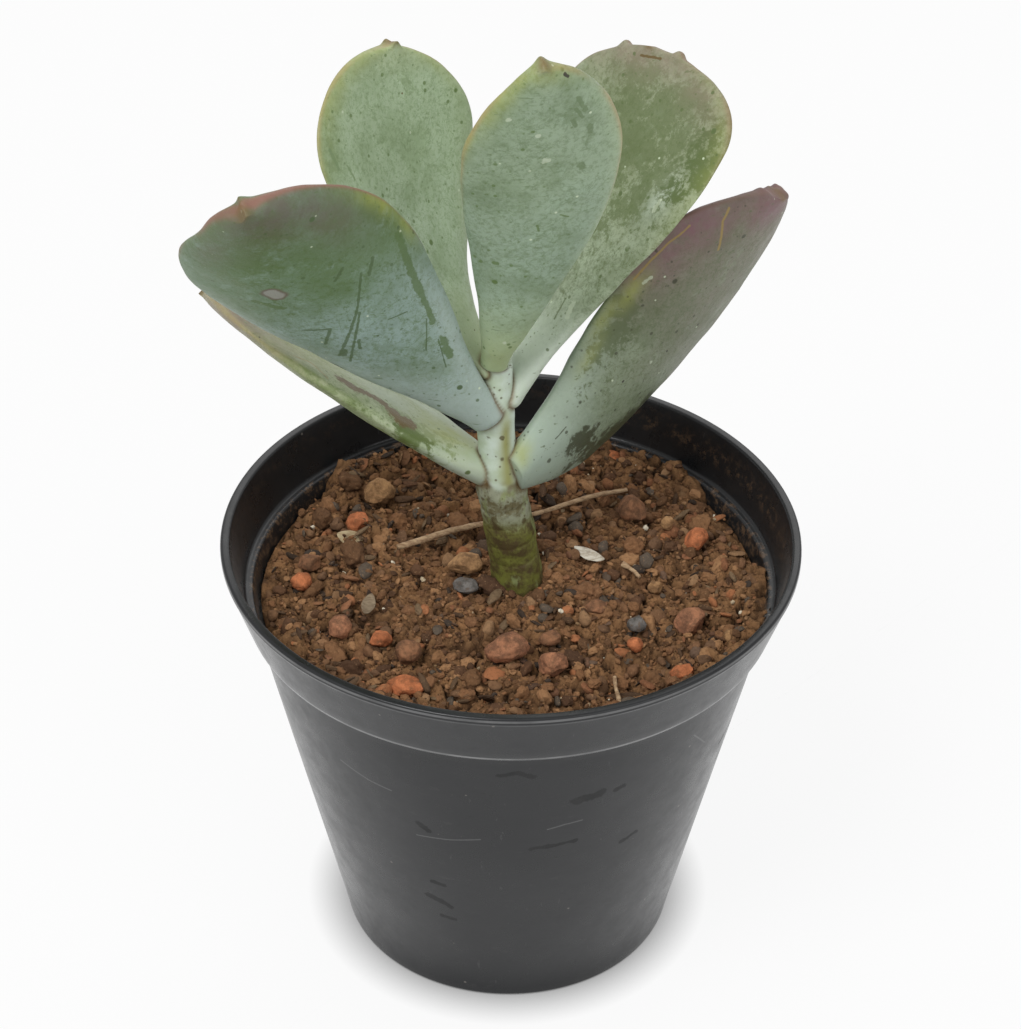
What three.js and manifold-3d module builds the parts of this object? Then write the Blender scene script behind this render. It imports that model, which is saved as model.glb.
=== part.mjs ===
// A succulent (cotyledon) rooted in soil in a 100 mm plastic nursery pot.
// Millimetres, +Z up. The origin is the middle of the pot's flat base, on the pot's axis.

import * as THREE from 'three';
import { mergeVertices } from 'three/addons/utils/BufferGeometryUtils.js';
import Module from 'manifold-3d';

const wasm = await Module();
wasm.setup();

// ---- driving dimensions -------------------------------------------------------------

const GAP = 0.3;              // left between pieces that touch

const POT_HEIGHT = 81.7;
const RIM_RADIUS = 50;        // outer edge of the rim
const RIM_WIDTH = 1.6;        // flat top of the rim
const COLLAR_DEPTH = 12;      // the collar is the wider band under the rim
const COLLAR_FOOT_RADIUS = 46.3;
const LEDGE_DEPTH = 9.4;      // inside step where the collar meets the body
const LEDGE_OUTER = 46.2;
const LEDGE_INNER = 44.7;
const BODY_TOP_RADIUS = 45;
const BODY_FOOT_RADIUS = 31;
const FOOT_HEIGHT = 6;
const BASE_RADIUS = 29.85;
const WALL = 1.1;
const FLOOR = 1.4;
const EDGE = 0.4;             // small roundings of the rim and the base
const POT_SIDES = 60;

const DRAIN_COUNT = 6;
const DRAIN_RADIUS = 4;
const DRAIN_CIRCLE = 20;

const SOIL_TOP = 72.6;        // height of the soil at the stem
const SOIL_FALL = 2.8;        // how much lower it is at the pot wall
const SOIL_RADIUS = 43.4;
const SOIL_RINGS = 12;
const SOIL_SIDES = 40;

const STEM_BURIED_Z = 58;     // the stem's lower end, in the soil
const STEM_SIDES = 16;
const STEM_STEPS = 20;

const LEAF_STATIONS = 15;
const LEAF_SIDES = 16;
const ROOT_SIDES = 6;

const COLLAR_FOOT_Z = POT_HEIGHT - COLLAR_DEPTH;
const LEDGE_Z = POT_HEIGHT - LEDGE_DEPTH;
const COLLAR_BODY_INNER = BODY_TOP_RADIUS - WALL;

// ---- materials ----------------------------------------------------------------------

const material = (color, roughness) => new THREE.MeshStandardMaterial({ color, roughness, metalness: 0 });

const PLASTIC = material(0x2e2f31, 0.5);
const SOIL = material(0x5e4634, 0.95);
const STEM = material(0x73724e, 0.7);
const ROOT = material(0x9a8463, 0.8);
const LEAF = material(0x86957c, 0.6);
const STONE_COLORS = {
  brown: material(0x6f5138, 0.9),
  orange: material(0xa9623a, 0.85),
  red: material(0x7d4a33, 0.85),
  tan: material(0x9b7a55, 0.9),
  grey: material(0x5a5855, 0.85),
};
const STRAW = material(0xa08a6c, 0.8);

// ---- solids -------------------------------------------------------------------------

function toSolid(geometry) {
  const bare = geometry.clone();
  bare.deleteAttribute('normal');
  bare.deleteAttribute('uv');
  const merged = mergeVertices(bare, 1e-4);
  return new wasm.Manifold(new wasm.Mesh({
    numProp: 3,
    vertProperties: new Float32Array(merged.attributes.position.array),
    triVerts: new Uint32Array(merged.index.array),
  }));
}

function toGeometry(solid) {
  const { vertProperties, triVerts } = solid.getMesh();
  const geometry = new THREE.BufferGeometry();
  geometry.setAttribute('position', new THREE.BufferAttribute(Float32Array.from(vertProperties), 3));
  geometry.setIndex(new THREE.BufferAttribute(Uint32Array.from(triVerts), 1));
  geometry.computeVertexNormals();
  return geometry;
}

function signedVolume(positions, index) {
  const corner = (i) => new THREE.Vector3().fromArray(positions, 3 * index[i]);
  let sum = 0;
  for (let i = 0; i < index.length; i += 3) {
    sum += corner(i).dot(corner(i + 1).cross(corner(i + 2)));
  }
  return sum / 6;
}

// A closed skin over rings of points, with the first and last ring fanned to their own middles.
function loft(rings, firstTip, lastTip) {
  const count = rings[0].length;
  const points = rings.flat().concat([firstTip, lastTip]);
  const first = points.length - 2;
  const last = points.length - 1;
  const index = [];
  for (let side = 0; side < count; side += 1) {
    const next = (side + 1) % count;
    index.push(first, next, side);
    for (let ring = 0; ring + 1 < rings.length; ring += 1) {
      const here = ring * count;
      const above = here + count;
      index.push(here + side, here + next, above + next);
      index.push(here + side, above + next, above + side);
    }
    const top = (rings.length - 1) * count;
    index.push(last, top + side, top + next);
  }
  const positions = points.flatMap((point) => point.toArray());
  if (signedVolume(positions, index) < 0) {
    index.reverse();
  }
  const geometry = new THREE.BufferGeometry();
  geometry.setAttribute('position', new THREE.Float32BufferAttribute(positions, 3));
  geometry.setIndex(index);
  geometry.computeVertexNormals();
  return geometry;
}

// A round rod along a smooth path; each knot is [x, y, z, radius].
function rod(knots, sides, steps, extra = 0) {
  const path = new THREE.CatmullRomCurve3(knots.map(([x, y, z]) => new THREE.Vector3(x, y, z)));
  const frames = path.computeFrenetFrames(steps, false);
  const rings = [];
  for (let step = 0; step <= steps; step += 1) {
    const along = (step / steps) * (knots.length - 1);
    const knot = Math.min(Math.floor(along), knots.length - 2);
    const radius = THREE.MathUtils.lerp(knots[knot][3], knots[knot + 1][3], along - knot) + extra;
    const tangent = path.getTangent(step / steps);
    const lengthen = step === 0 ? -extra : step === steps ? extra : 0;
    const centre = path.getPoint(step / steps).addScaledVector(tangent, lengthen);
    rings.push(Array.from({ length: sides }, (_, side) => {
      const angle = (2 * Math.PI * side) / sides;
      return centre.clone()
        .addScaledVector(frames.normals[step], radius * Math.cos(angle))
        .addScaledVector(frames.binormals[step], radius * Math.sin(angle));
    }));
  }
  const start = path.getPoint(0).addScaledVector(path.getTangent(0), -extra);
  const end = path.getPoint(1).addScaledVector(path.getTangent(1), extra);
  return loft(rings, start, end);
}

// ---- pot ----------------------------------------------------------------------------

function pot() {
  const top = POT_HEIGHT;
  const rimInner = RIM_RADIUS - RIM_WIDTH;
  const profile = [
    [0, 0], [BASE_RADIUS - EDGE, 0], [BASE_RADIUS, EDGE], [BODY_FOOT_RADIUS, FOOT_HEIGHT],
    [BODY_TOP_RADIUS, COLLAR_FOOT_Z], [COLLAR_FOOT_RADIUS, COLLAR_FOOT_Z],
    [RIM_RADIUS, top - EDGE], [RIM_RADIUS - EDGE, top], [rimInner + EDGE / 2, top], [rimInner, top - EDGE],
    [LEDGE_OUTER, LEDGE_Z + EDGE], [LEDGE_OUTER - EDGE, LEDGE_Z], [LEDGE_INNER, LEDGE_Z],
    [COLLAR_BODY_INNER, COLLAR_FOOT_Z], [BODY_FOOT_RADIUS - WALL, FOOT_HEIGHT],
    [BASE_RADIUS - WALL, FLOOR], [0, FLOOR],
  ].map(([radius, z]) => new THREE.Vector2(radius, z));
  const shell = new THREE.LatheGeometry(profile, POT_SIDES).rotateX(Math.PI / 2);
  let solid = toSolid(shell);
  for (let hole = 0; hole < DRAIN_COUNT; hole += 1) {
    const angle = (2 * Math.PI * hole) / DRAIN_COUNT;
    const drill = new THREE.CylinderGeometry(DRAIN_RADIUS, DRAIN_RADIUS, 4 * FLOOR, 20)
      .rotateX(Math.PI / 2)
      .translate(DRAIN_CIRCLE * Math.cos(angle), DRAIN_CIRCLE * Math.sin(angle), 0);
    solid = solid.subtract(toSolid(drill));
  }
  return solid;
}

// ---- stem, roots and bud ------------------------------------------------------------

// The stem leans a little towards -X. Each knot is [x, y, z, radius].
const STEM_KNOTS = [
  [1.6, 0, STEM_BURIED_Z, 4.2], [1.3, 0, 66, 4.7], [1.1, 0, 73, 4.6], [0.1, 0, 80, 4.2], [-0.9, 0, 87, 3.8],
  [-2.0, 0, 93.8, 4.0], [-2.5, 0, 100, 3.4], [-2.9, 0, 106.5, 3.4], [-2.8, 0, 111.5, 2.9], [-2.7, 0, 116.6, 2.6],
];

const stem = (extra = 0) => toSolid(rod(STEM_KNOTS, STEM_SIDES, STEM_STEPS, extra));

const ROOT_COUNT = 6;

function roots(extra = 0) {
  const crown = new THREE.SphereGeometry(4 + extra, 12, 8)
    .rotateX(Math.PI / 2)
    .translate(1.6, 0, STEM_BURIED_Z - 4.4);
  let solid = toSolid(crown);
  for (let root = 0; root < ROOT_COUNT; root += 1) {
    const angle = (2 * Math.PI * root) / ROOT_COUNT + 0.4;
    const reach = 20 + 4 * Math.sin(2.3 * root);
    const depth = 30 + 9 * Math.cos(1.7 * root);
    const at = (share, drop, swing, radius) => [
      1.6 + reach * share * Math.cos(angle + swing),
      reach * share * Math.sin(angle + swing),
      STEM_BURIED_Z - 4.4 - depth * drop,
      radius,
    ];
    const knots = [at(0.05, 0, 0, 1.8), at(0.4, 0.16, 0.15, 1.4), at(0.75, 0.5, -0.1, 1.0), at(1, 1, 0.12, 0.5)];
    solid = solid.add(toSolid(rod(knots, ROOT_SIDES, 6, extra)));
  }
  return solid;
}

function bud() {
  const knots = [[-1.6, 0.9, 117.6, 0.7], [-1.5, 1.3, 119.4, 1.0], [-1.5, 1.7, 121.6, 0.4]];
  return toSolid(rod(knots, 8, 5));
}

// ---- leaves -------------------------------------------------------------------------

// Each leaf grows from `base` towards `azimuth` and `elevation` (degrees), turned about its own
// midrib by `roll`. Along its length it turns further: up by `bend`, sideways by `sway` and about
// the midrib by `twist`. Its outline opens from `waist` to `width` at the share `widest` of the
// length, and closes in a round end set by `blunt`. `cup` is the half angle of its hollow face,
// `skew` makes one half wider, and `thick` is the thickness at the base and at the tip.
const LEAVES = {
  leaf_lower_right: {
    base: [0, -2.0, 96.3], azimuth: 41.5, elevation: 14.5, bend: -15, sway: -46.5, roll: -89, twist: 15.5,
    length: 66.5, waist: 7.5, width: 46.5, widest: 0.79, flare: 1, blunt: 1.74, cup: 0.54, skew: 0.2,
    thick: [5.6, 3.8],
  },
  leaf_lower_left: {
    base: [-3.6, 0.6, 94.1], azimuth: 161.5, elevation: 26, bend: 2.5, sway: 2, roll: 24, twist: 5,
    length: 57, waist: 8, width: 39, widest: 0.73, flare: 0.9, blunt: 2.05, cup: 0.15, skew: 0.07,
    thick: [5.6, 2.8],
  },
  leaf_middle_left: {
    base: [-3.5, -1.8, 107.3], azimuth: -160.5, elevation: 50, bend: -23.5, sway: 9.5, roll: 77, twist: -1,
    length: 74.5, waist: 6.6, width: 38, widest: 0.69, flare: 1.55, blunt: 1.66, cup: 0.68, skew: -0.19,
    thick: [5, 3.8],
  },
  leaf_middle_right: {
    base: [-1.2, 2.4, 108.9], azimuth: 42, elevation: 48.5, bend: 13, sway: 4.5, roll: -27, twist: 25,
    length: 62.5, waist: 7.6, width: 42, widest: 0.78, flare: 1.65, blunt: 2.0, cup: 0.08, skew: -0.14,
    thick: [5.4, 3.0],
  },
  leaf_top_front: {
    base: [-3.5, -1.8, 117.9], azimuth: -63, elevation: 70.5, bend: -4, sway: -5, roll: -35, twist: 25.5,
    length: 71, waist: 4.6, width: 25, widest: 0.7, flare: 1.55, blunt: 1.65, cup: 0.25, skew: 0.16,
    thick: [5.4, 3.0],
  },
  leaf_top_back: {
    base: [-4.0, 1.4, 115.5], azimuth: 153.5, elevation: 46, bend: 40.5, sway: -13, roll: 15, twist: -26,
    length: 56, waist: 7.6, width: 38.5, widest: 0.7, flare: 1.65, blunt: 1.86, cup: 0.26, skew: 0.1,
    thick: [4, 3.0],
  },
};

const radians = THREE.MathUtils.degToRad;

// Directions at a leaf's base: x along the midrib, y across the blade, z out of its upper face.
function leafBasis(leaf) {
  const azimuth = radians(leaf.azimuth);
  const elevation = radians(leaf.elevation);
  const along = new THREE.Vector3(
    Math.cos(elevation) * Math.cos(azimuth), Math.cos(elevation) * Math.sin(azimuth), Math.sin(elevation),
  );
  const across = new THREE.Vector3(-Math.sin(azimuth), Math.cos(azimuth), 0);
  const up = along.clone().cross(across);
  return new THREE.Matrix4().makeBasis(along, across, up)
    .multiply(new THREE.Matrix4().makeRotationX(radians(leaf.roll)));
}

function leafTurn(leaf, share) {
  return new THREE.Matrix4().makeRotationZ(radians(leaf.sway * share))
    .multiply(new THREE.Matrix4().makeRotationY(radians(-leaf.bend * share)))
    .multiply(new THREE.Matrix4().makeRotationX(radians(leaf.twist * share)));
}

function halfWidth(leaf, share) {
  if (share <= leaf.widest) {
    const opening = Math.sin((Math.PI / 2) * (share / leaf.widest)) ** leaf.flare;
    return (leaf.waist + (leaf.width - leaf.waist) * opening) / 2;
  }
  const closing = (share - leaf.widest) / (1 - leaf.widest);
  return (leaf.width / 2) * (1 - closing ** leaf.blunt) ** (1 / leaf.blunt);
}

function leafRing(leaf, share, centre, basis, extra) {
  const half = halfWidth(leaf, share) + extra;
  const thickness = THREE.MathUtils.lerp(leaf.thick[0], leaf.thick[1], share);
  const halfThick = Math.min(thickness / 2 + extra, 0.9 * half);
  const cup = leaf.cup * Math.min(share / 0.4, 1) + 0.001;
  const bendRadius = half / cup;
  return Array.from({ length: LEAF_SIDES }, (_, side) => {
    const angle = (2 * Math.PI * side) / LEAF_SIDES;
    const widen = Math.cos(angle) > 0 ? 1 + leaf.skew : 1 - leaf.skew;
    const turn = (half * widen * Math.cos(angle)) / bendRadius;
    const lift = halfThick * Math.sin(angle);
    return new THREE.Vector3(
      0, (bendRadius - lift) * Math.sin(turn), bendRadius * (1 - Math.cos(turn)) + lift * Math.cos(turn),
    ).applyMatrix4(basis).add(centre);
  });
}

function leafSolid(leaf, extra = 0) {
  const start = leafBasis(leaf);
  const centre = new THREE.Vector3(...leaf.base);
  const lastShare = 0.992;
  const shares = Array.from({ length: LEAF_STATIONS }, (_, i) => {
    const step = i / (LEAF_STATIONS - 1);
    return lastShare * (1 - (1 - step) ** 1.4);
  });
  const rings = [];
  let before = 0;
  for (const share of shares) {
    const halfway = start.clone().multiply(leafTurn(leaf, (before + share) / 2));
    const travel = new THREE.Vector3(leaf.length * (share - before), 0, 0).applyMatrix4(halfway);
    centre.add(travel);
    rings.push(leafRing(leaf, share, centre, start.clone().multiply(leafTurn(leaf, share)), extra));
    before = share;
  }
  const point = 1.6;            // the short point that ends the leaf
  const tipTravel = new THREE.Vector3(leaf.length * (1 - lastShare) + point, 0, 0)
    .applyMatrix4(start.clone().multiply(leafTurn(leaf, 1)));
  return toSolid(loft(rings, new THREE.Vector3(...leaf.base), centre.clone().add(tipTravel)));
}

// ---- soil and what lies on it -------------------------------------------------------

function soilHeight(x, y) {
  const fall = SOIL_FALL * (Math.hypot(x, y) / SOIL_RADIUS) ** 2;
  const swell = 0.4 * Math.sin(0.21 * x + 1) * Math.cos(0.18 * y) + 0.25 * Math.sin(0.35 * x - 0.3 * y + 2);
  return SOIL_TOP - fall + swell * Math.min(1, (SOIL_RADIUS - Math.hypot(x, y)) / 6);
}

function soilBlock() {
  const ring = (radius, height) => Array.from({ length: SOIL_SIDES }, (_, side) => {
    const angle = (2 * Math.PI * side) / SOIL_SIDES;
    const x = radius * Math.cos(angle);
    const y = radius * Math.sin(angle);
    return new THREE.Vector3(x, y, height(x, y));
  });
  const bottom = FLOOR + GAP;
  const rings = [
    ring(BASE_RADIUS - WALL - GAP, () => bottom),
    ring(BODY_FOOT_RADIUS - WALL - GAP, () => FOOT_HEIGHT),
  ];
  for (let step = SOIL_RINGS; step > 0; step -= 1) {
    rings.push(ring((SOIL_RADIUS * step) / SOIL_RINGS, soilHeight));
  }
  return toSolid(loft(rings, new THREE.Vector3(0, 0, bottom), new THREE.Vector3(0, 0, soilHeight(0, 0))));
}

// Stones and clay chips: [x, y, length, breadth, height, turn, colour].
const STONES = {
  stone_by_stem: [-7.6, 2.2, 7, 5, 3.6, 10, 'tan'],
  stone_slate: [-7.9, -4.2, 5, 3.6, 2.6, -20, 'grey'],
  stone_front_red: [-0.4, -21.8, 8.2, 5.6, 5.2, 25, 'red'],
  stone_front_round: [7.2, -25, 5.2, 4.6, 4.4, 0, 'red'],
  stone_front_flat: [6.8, -17.6, 4.2, 3.2, 2.4, 30, 'brown'],
  stone_right_orange: [32.8, 12.1, 4, 5.4, 3.8, -20, 'orange'],
  stone_right_lump: [21.8, 18.4, 5.5, 5.5, 5.6, 15, 'brown'],
  stone_right_wedge: [30.7, -12.3, 5.6, 4.8, 4.4, 40, 'red'],
  stone_right_bead: [21.1, -19.5, 2.8, 2.6, 3, 0, 'orange'],
  stone_right_grey: [21.6, -14.3, 3.6, 3.4, 3, 0, 'grey'],
  stone_right_pale: [27.9, 16.4, 2.6, 2.4, 2.6, 30, 'tan'],
  stone_right_small: [25.1, -2.8, 2.8, 2.4, 2.4, 0, 'tan'],
  stone_right_rim: [37.6, -15.4, 3.2, 3, 3.2, 50, 'tan'],
  stone_right_chip: [28.9, -25, 4.4, 3.4, 3, 30, 'orange'],
  stone_middle: [14.5, -9.8, 4.4, 3.4, 2.8, 10, 'brown'],
  stone_back_orange: [18.2, 38, 5, 3.4, 2.8, -20, 'orange'],
  stone_left_curl: [-27.3, 15.2, 4.4, 4, 4, 0, 'orange'],
  stone_left_lump: [-23.8, 24.4, 6.4, 5, 5, 40, 'tan'],
  stone_left_orange: [-36.4, -1.7, 3.8, 3.6, 3.4, 0, 'orange'],
  stone_left_brown: [-35.2, 3.4, 4.2, 3.6, 3.4, 30, 'brown'],
  stone_left_front: [-28.9, -15, 5.2, 4.4, 4, 70, 'red'],
  stone_left_small: [-21.8, -18.2, 4, 3.2, 3.2, -10, 'orange'],
  stone_left_big: [-17.4, -22.6, 5.4, 4.6, 4.2, 20, 'brown'],
  stone_left_flat: [-17.2, -30, 7, 4.4, 3.6, -15, 'orange'],
};

function stone([x, y, length, breadth, height, turn], extra = 0) {
  const geometry = new THREE.IcosahedronGeometry(1, 1);
  const position = geometry.attributes.position;
  const point = new THREE.Vector3();
  for (let i = 0; i < position.count; i += 1) {
    point.fromBufferAttribute(position, i);
    const lump = 1 + 0.1 * Math.sin(3 * point.x + x) * Math.cos(2.6 * point.y + y) + 0.06 * Math.sin(5 * point.z + x * y);
    point.multiplyScalar(lump);
    position.setXYZ(i, point.x, point.y, point.z);
  }
  geometry.scale(length / 2 + extra, breadth / 2 + extra, height / 2 + extra);
  geometry.rotateZ(radians(turn));
  const sunk = 0.12;            // share of the height that lies in the soil
  geometry.translate(x, y, soilHeight(x, y) + height * (0.5 - sunk));
  return toSolid(geometry);
}

// Straws lie on the soil between two points: [x, y, x, y, radius, lift].
const STRAWS = {
  straw_long: [-19.9, 7, 21, 25.4, 0.55, 0.9],
  straw_short: [18.2, -33.2, 17.6, -26.8, 0.45, 0.5],
  straw_side: [19.4, 3.4, 22.4, 0.2, 0.45, 0.5],
};

function straw([x0, y0, x1, y1, radius, lift], extra = 0) {
  const knots = [0, 1 / 3, 2 / 3, 1].map((share) => {
    const x = THREE.MathUtils.lerp(x0, x1, share);
    const y = THREE.MathUtils.lerp(y0, y1, share);
    return [x, y, soilHeight(x, y) + lift, radius];
  });
  return toSolid(rod(knots, 6, 6, extra));
}

// Scraps of dry leaf: [x, y, length, breadth, turn].
const SCRAPS = {
  scrap_left: [-28.5, 10.4, 5, 3, -20],
  scrap_husk: [-24.4, -9.1, 5.4, 2.4, 80],
  scrap_curl: [13.8, 5.6, 6.4, 2.4, -35],
  scrap_rim: [34.2, -20.6, 6.4, 3.6, 15],
};

function scrap([x, y, length, breadth, turn], extra = 0) {
  const depth = 0.4 + 2 * extra;
  const outline = new THREE.Shape();
  outline.absellipse(0, 0, length / 2 + extra, breadth / 2 + extra, 0, 2 * Math.PI);
  const geometry = new THREE.ExtrudeGeometry(outline, { depth, bevelEnabled: false, curveSegments: 7 });
  geometry.translate(0, 0, -extra);
  geometry.rotateX(radians(14));
  geometry.rotateZ(radians(turn));
  geometry.translate(x, y, soilHeight(x, y) + breadth / 8 + GAP);
  return toSolid(geometry);
}

// ---- assembly -----------------------------------------------------------------------

const plant = new THREE.Group();

function put(name, solid, finish) {
  const mesh = new THREE.Mesh(toGeometry(solid), finish);
  mesh.name = name;
  plant.add(mesh);
}

put('pot', pot(), PLASTIC);

let soil = soilBlock().subtract(stem(GAP)).subtract(roots(GAP));
for (const [name, sizes] of Object.entries(STONES)) {
  put(name, stone(sizes), STONE_COLORS[sizes[6]]);
  soil = soil.subtract(stone(sizes, GAP));
}
for (const [name, sizes] of Object.entries(STRAWS)) {
  put(name, straw(sizes), STRAW);
  soil = soil.subtract(straw(sizes, GAP));
}
for (const [name, sizes] of Object.entries(SCRAPS)) {
  put(name, scrap(sizes), STRAW);
  soil = soil.subtract(scrap(sizes, GAP));
}
put('soil', soil, SOIL);
put('stem', stem(), STEM);
put('roots', roots(), ROOT);
put('bud', bud(), LEAF);

for (const [name, leaf] of Object.entries(LEAVES)) {
  let solid = leafSolid(leaf).subtract(stem(GAP));
  if (name === 'leaf_top_back') {
    solid = solid.subtract(leafSolid(LEAVES.leaf_top_front, GAP));
  }
  put(name, solid, LEAF);
}

export default plant;
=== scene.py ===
"""A potted cotyledon: the looks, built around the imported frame.

Shapes are worked out in millimetres, in the frame's own axes, and scaled to metres as each mesh is made.
"""
import math

import bmesh
import bpy
import numpy as np
from mathutils import Matrix, Vector
from mathutils.kdtree import KDTree


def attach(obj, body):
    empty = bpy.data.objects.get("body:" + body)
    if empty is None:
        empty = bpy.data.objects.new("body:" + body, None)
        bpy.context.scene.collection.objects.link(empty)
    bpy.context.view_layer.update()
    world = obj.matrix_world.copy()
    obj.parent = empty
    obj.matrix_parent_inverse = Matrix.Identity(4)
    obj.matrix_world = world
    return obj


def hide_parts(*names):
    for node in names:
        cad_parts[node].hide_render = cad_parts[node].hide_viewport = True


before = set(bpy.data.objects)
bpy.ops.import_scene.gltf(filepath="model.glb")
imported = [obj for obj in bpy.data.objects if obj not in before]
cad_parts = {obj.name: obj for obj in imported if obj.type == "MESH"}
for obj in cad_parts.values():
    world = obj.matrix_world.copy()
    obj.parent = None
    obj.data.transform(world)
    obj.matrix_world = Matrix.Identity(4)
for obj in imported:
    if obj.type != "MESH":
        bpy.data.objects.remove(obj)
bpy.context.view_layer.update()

MM = 0.001
NOISE_SHIFT = 1000.0          # keeps the lattice cells of the noise positive


# ---- noise, the same on every run ---------------------------------------------------

def lattice(cell, seed):
    """A repeatable random number from 0 to 1 for each whole-number cell."""
    c = cell.astype(np.int64)
    n = c[..., 0] * 374761393 + c[..., 1] * 668265263 + c[..., 2] * 1274126177 + seed * 974634777
    n = (n ^ (n >> 13)) * 1103515245
    n = (n ^ (n >> 16)) & 0x7FFFFFFF
    return n / float(0x7FFFFFFF)


CORNERS = np.array([(i, j, k) for i in (0, 1) for j in (0, 1) for k in (0, 1)])


def smooth_noise(points, size, seed):
    """Value noise from -1 to 1 with blobs of the given size."""
    p = np.asarray(points, float) / size + NOISE_SHIFT
    cell = np.floor(p)
    f = p - cell
    f = f * f * (3 - 2 * f)
    total = np.zeros(len(p))
    for corner in CORNERS:
        weight = np.prod(np.where(corner, f, 1 - f), axis=1)
        total += weight * lattice(cell + corner, seed)
    return 2 * total - 1


def layered_noise(points, size, seed, layers=4):
    total = np.zeros(len(points))
    for layer in range(layers):
        total += smooth_noise(points, size / 2 ** layer, seed + layer) / 2 ** layer
    return total


def cell_distance(points, size, seed):
    """Distance to the nearest and second nearest scattered point, and the nearest one's own random number."""
    p = np.asarray(points, float) / size + NOISE_SHIFT
    cell = np.floor(p)
    first = np.full(len(p), 9.0)
    second = np.full(len(p), 9.0)
    owner = np.zeros(len(p))
    for i in (-1, 0, 1):
        for j in (-1, 0, 1):
            for k in (-1, 0, 1):
                near = cell + np.array([i, j, k])
                spot = near + np.stack([lattice(near, seed + a) for a in (0, 1, 2)], 1)
                d = np.linalg.norm(p - spot, axis=1)
                closer = d < first
                second = np.where(closer, first, np.minimum(second, d))
                owner = np.where(closer, lattice(near, seed + 3), owner)
                first = np.where(closer, d, first)
    return first, second, owner


def ramp01(value, low, high):
    t = np.clip((value - low) / (high - low), 0, 1)
    return t * t * (3 - 2 * t)


# ---- meshes -------------------------------------------------------------------------

def make_object(name, points, faces, material, replaces=(), smooth=True, attributes=None):
    """A mesh object from points in millimetres, riding on the root body."""
    mesh = bpy.data.meshes.new(name)
    mesh.from_pydata((np.asarray(points) * MM).tolist(), [], faces)
    mesh.update()
    mesh.polygons.foreach_set("use_smooth", [smooth] * len(mesh.polygons))
    for key, values in (attributes or {}).items():
        mesh.attributes.new(key, "FLOAT", "POINT").data.foreach_set("value", np.asarray(values, float))
    mesh.materials.append(material)
    obj = bpy.data.objects.new(name, mesh)
    bpy.context.scene.collection.objects.link(obj)
    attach(obj, "root")
    if replaces:
        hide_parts(*replaces)
    return obj


def loft_faces(rings, sides, closed_ends=True):
    """Quads between rings of points, and fans to the last two points, which close the end rings."""
    faces = []
    for ring in range(rings - 1):
        here = ring * sides
        for side in range(sides):
            after = (side + 1) % sides
            faces.append((here + side, here + after, here + sides + after, here + sides + side))
    if closed_ends:
        first = rings * sides
        last_ring = (rings - 1) * sides
        for side in range(sides):
            after = (side + 1) % sides
            faces.append((first, after, side))
            faces.append((first + 1, last_ring + side, last_ring + after))
    return faces


def outward(points, faces):
    """The faces, turned round if the closed mesh faces in."""
    p = np.asarray(points)
    volume = sum(np.dot(p[f[0]], np.cross(p[f[1]], p[f[2]])) for f in faces)
    volume += sum(np.dot(p[f[0]], np.cross(p[f[2]], p[f[3]])) for f in faces if len(f) == 4)
    return faces if volume > 0 else [tuple(reversed(f)) for f in faces]


def path_frames(points):
    """Two directions across a row of points at each of them, without twist."""
    tangents = np.gradient(points, axis=0)
    tangents /= np.linalg.norm(tangents, axis=1)[:, None]
    normal = np.cross(tangents[0], (0.3, 1.0, 0.2))
    normals = []
    for tangent in tangents:
        normal = normal - tangent * np.dot(normal, tangent)
        normal = normal / np.linalg.norm(normal)
        normals.append(normal)
    normals = np.array(normals)
    return normals, np.cross(tangents, normals)


def smooth_curve(knots, count):
    """A Catmull-Rom curve through the knots, with as many columns as they have."""
    k = np.asarray(knots, float)
    padded = np.vstack([2 * k[0] - k[1], k, 2 * k[-1] - k[-2]])
    out = []
    for u in np.linspace(0, len(k) - 1, count):
        i = min(int(u), len(k) - 2)
        t = u - i
        a, b, c, d = padded[i:i + 4]
        cubic = (3 * b - a - 3 * c + d) * t ** 3
        out.append(0.5 * (2 * b + (c - a) * t + (2 * a - 5 * b + 4 * c - d) * t ** 2 + cubic))
    return np.array(out)


def rod(knots, steps, sides):
    """Points and faces of a round rod; each knot is (x, y, z, radius)."""
    curve = smooth_curve(knots, steps)
    centres, radii = curve[:, :3], curve[:, 3]
    normals, binormals = path_frames(centres)
    angles = np.linspace(0, 2 * math.pi, sides, endpoint=False)
    cosine, sine = np.cos(angles)[None, :, None], np.sin(angles)[None, :, None]
    rings = centres[:, None] + radii[:, None, None] * (cosine * normals[:, None] + sine * binormals[:, None])
    points = np.vstack([rings.reshape(-1, 3), centres[:1], centres[-1:]])
    return points, outward(points, loft_faces(steps, sides))


# ---- shader helpers -----------------------------------------------------------------

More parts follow.
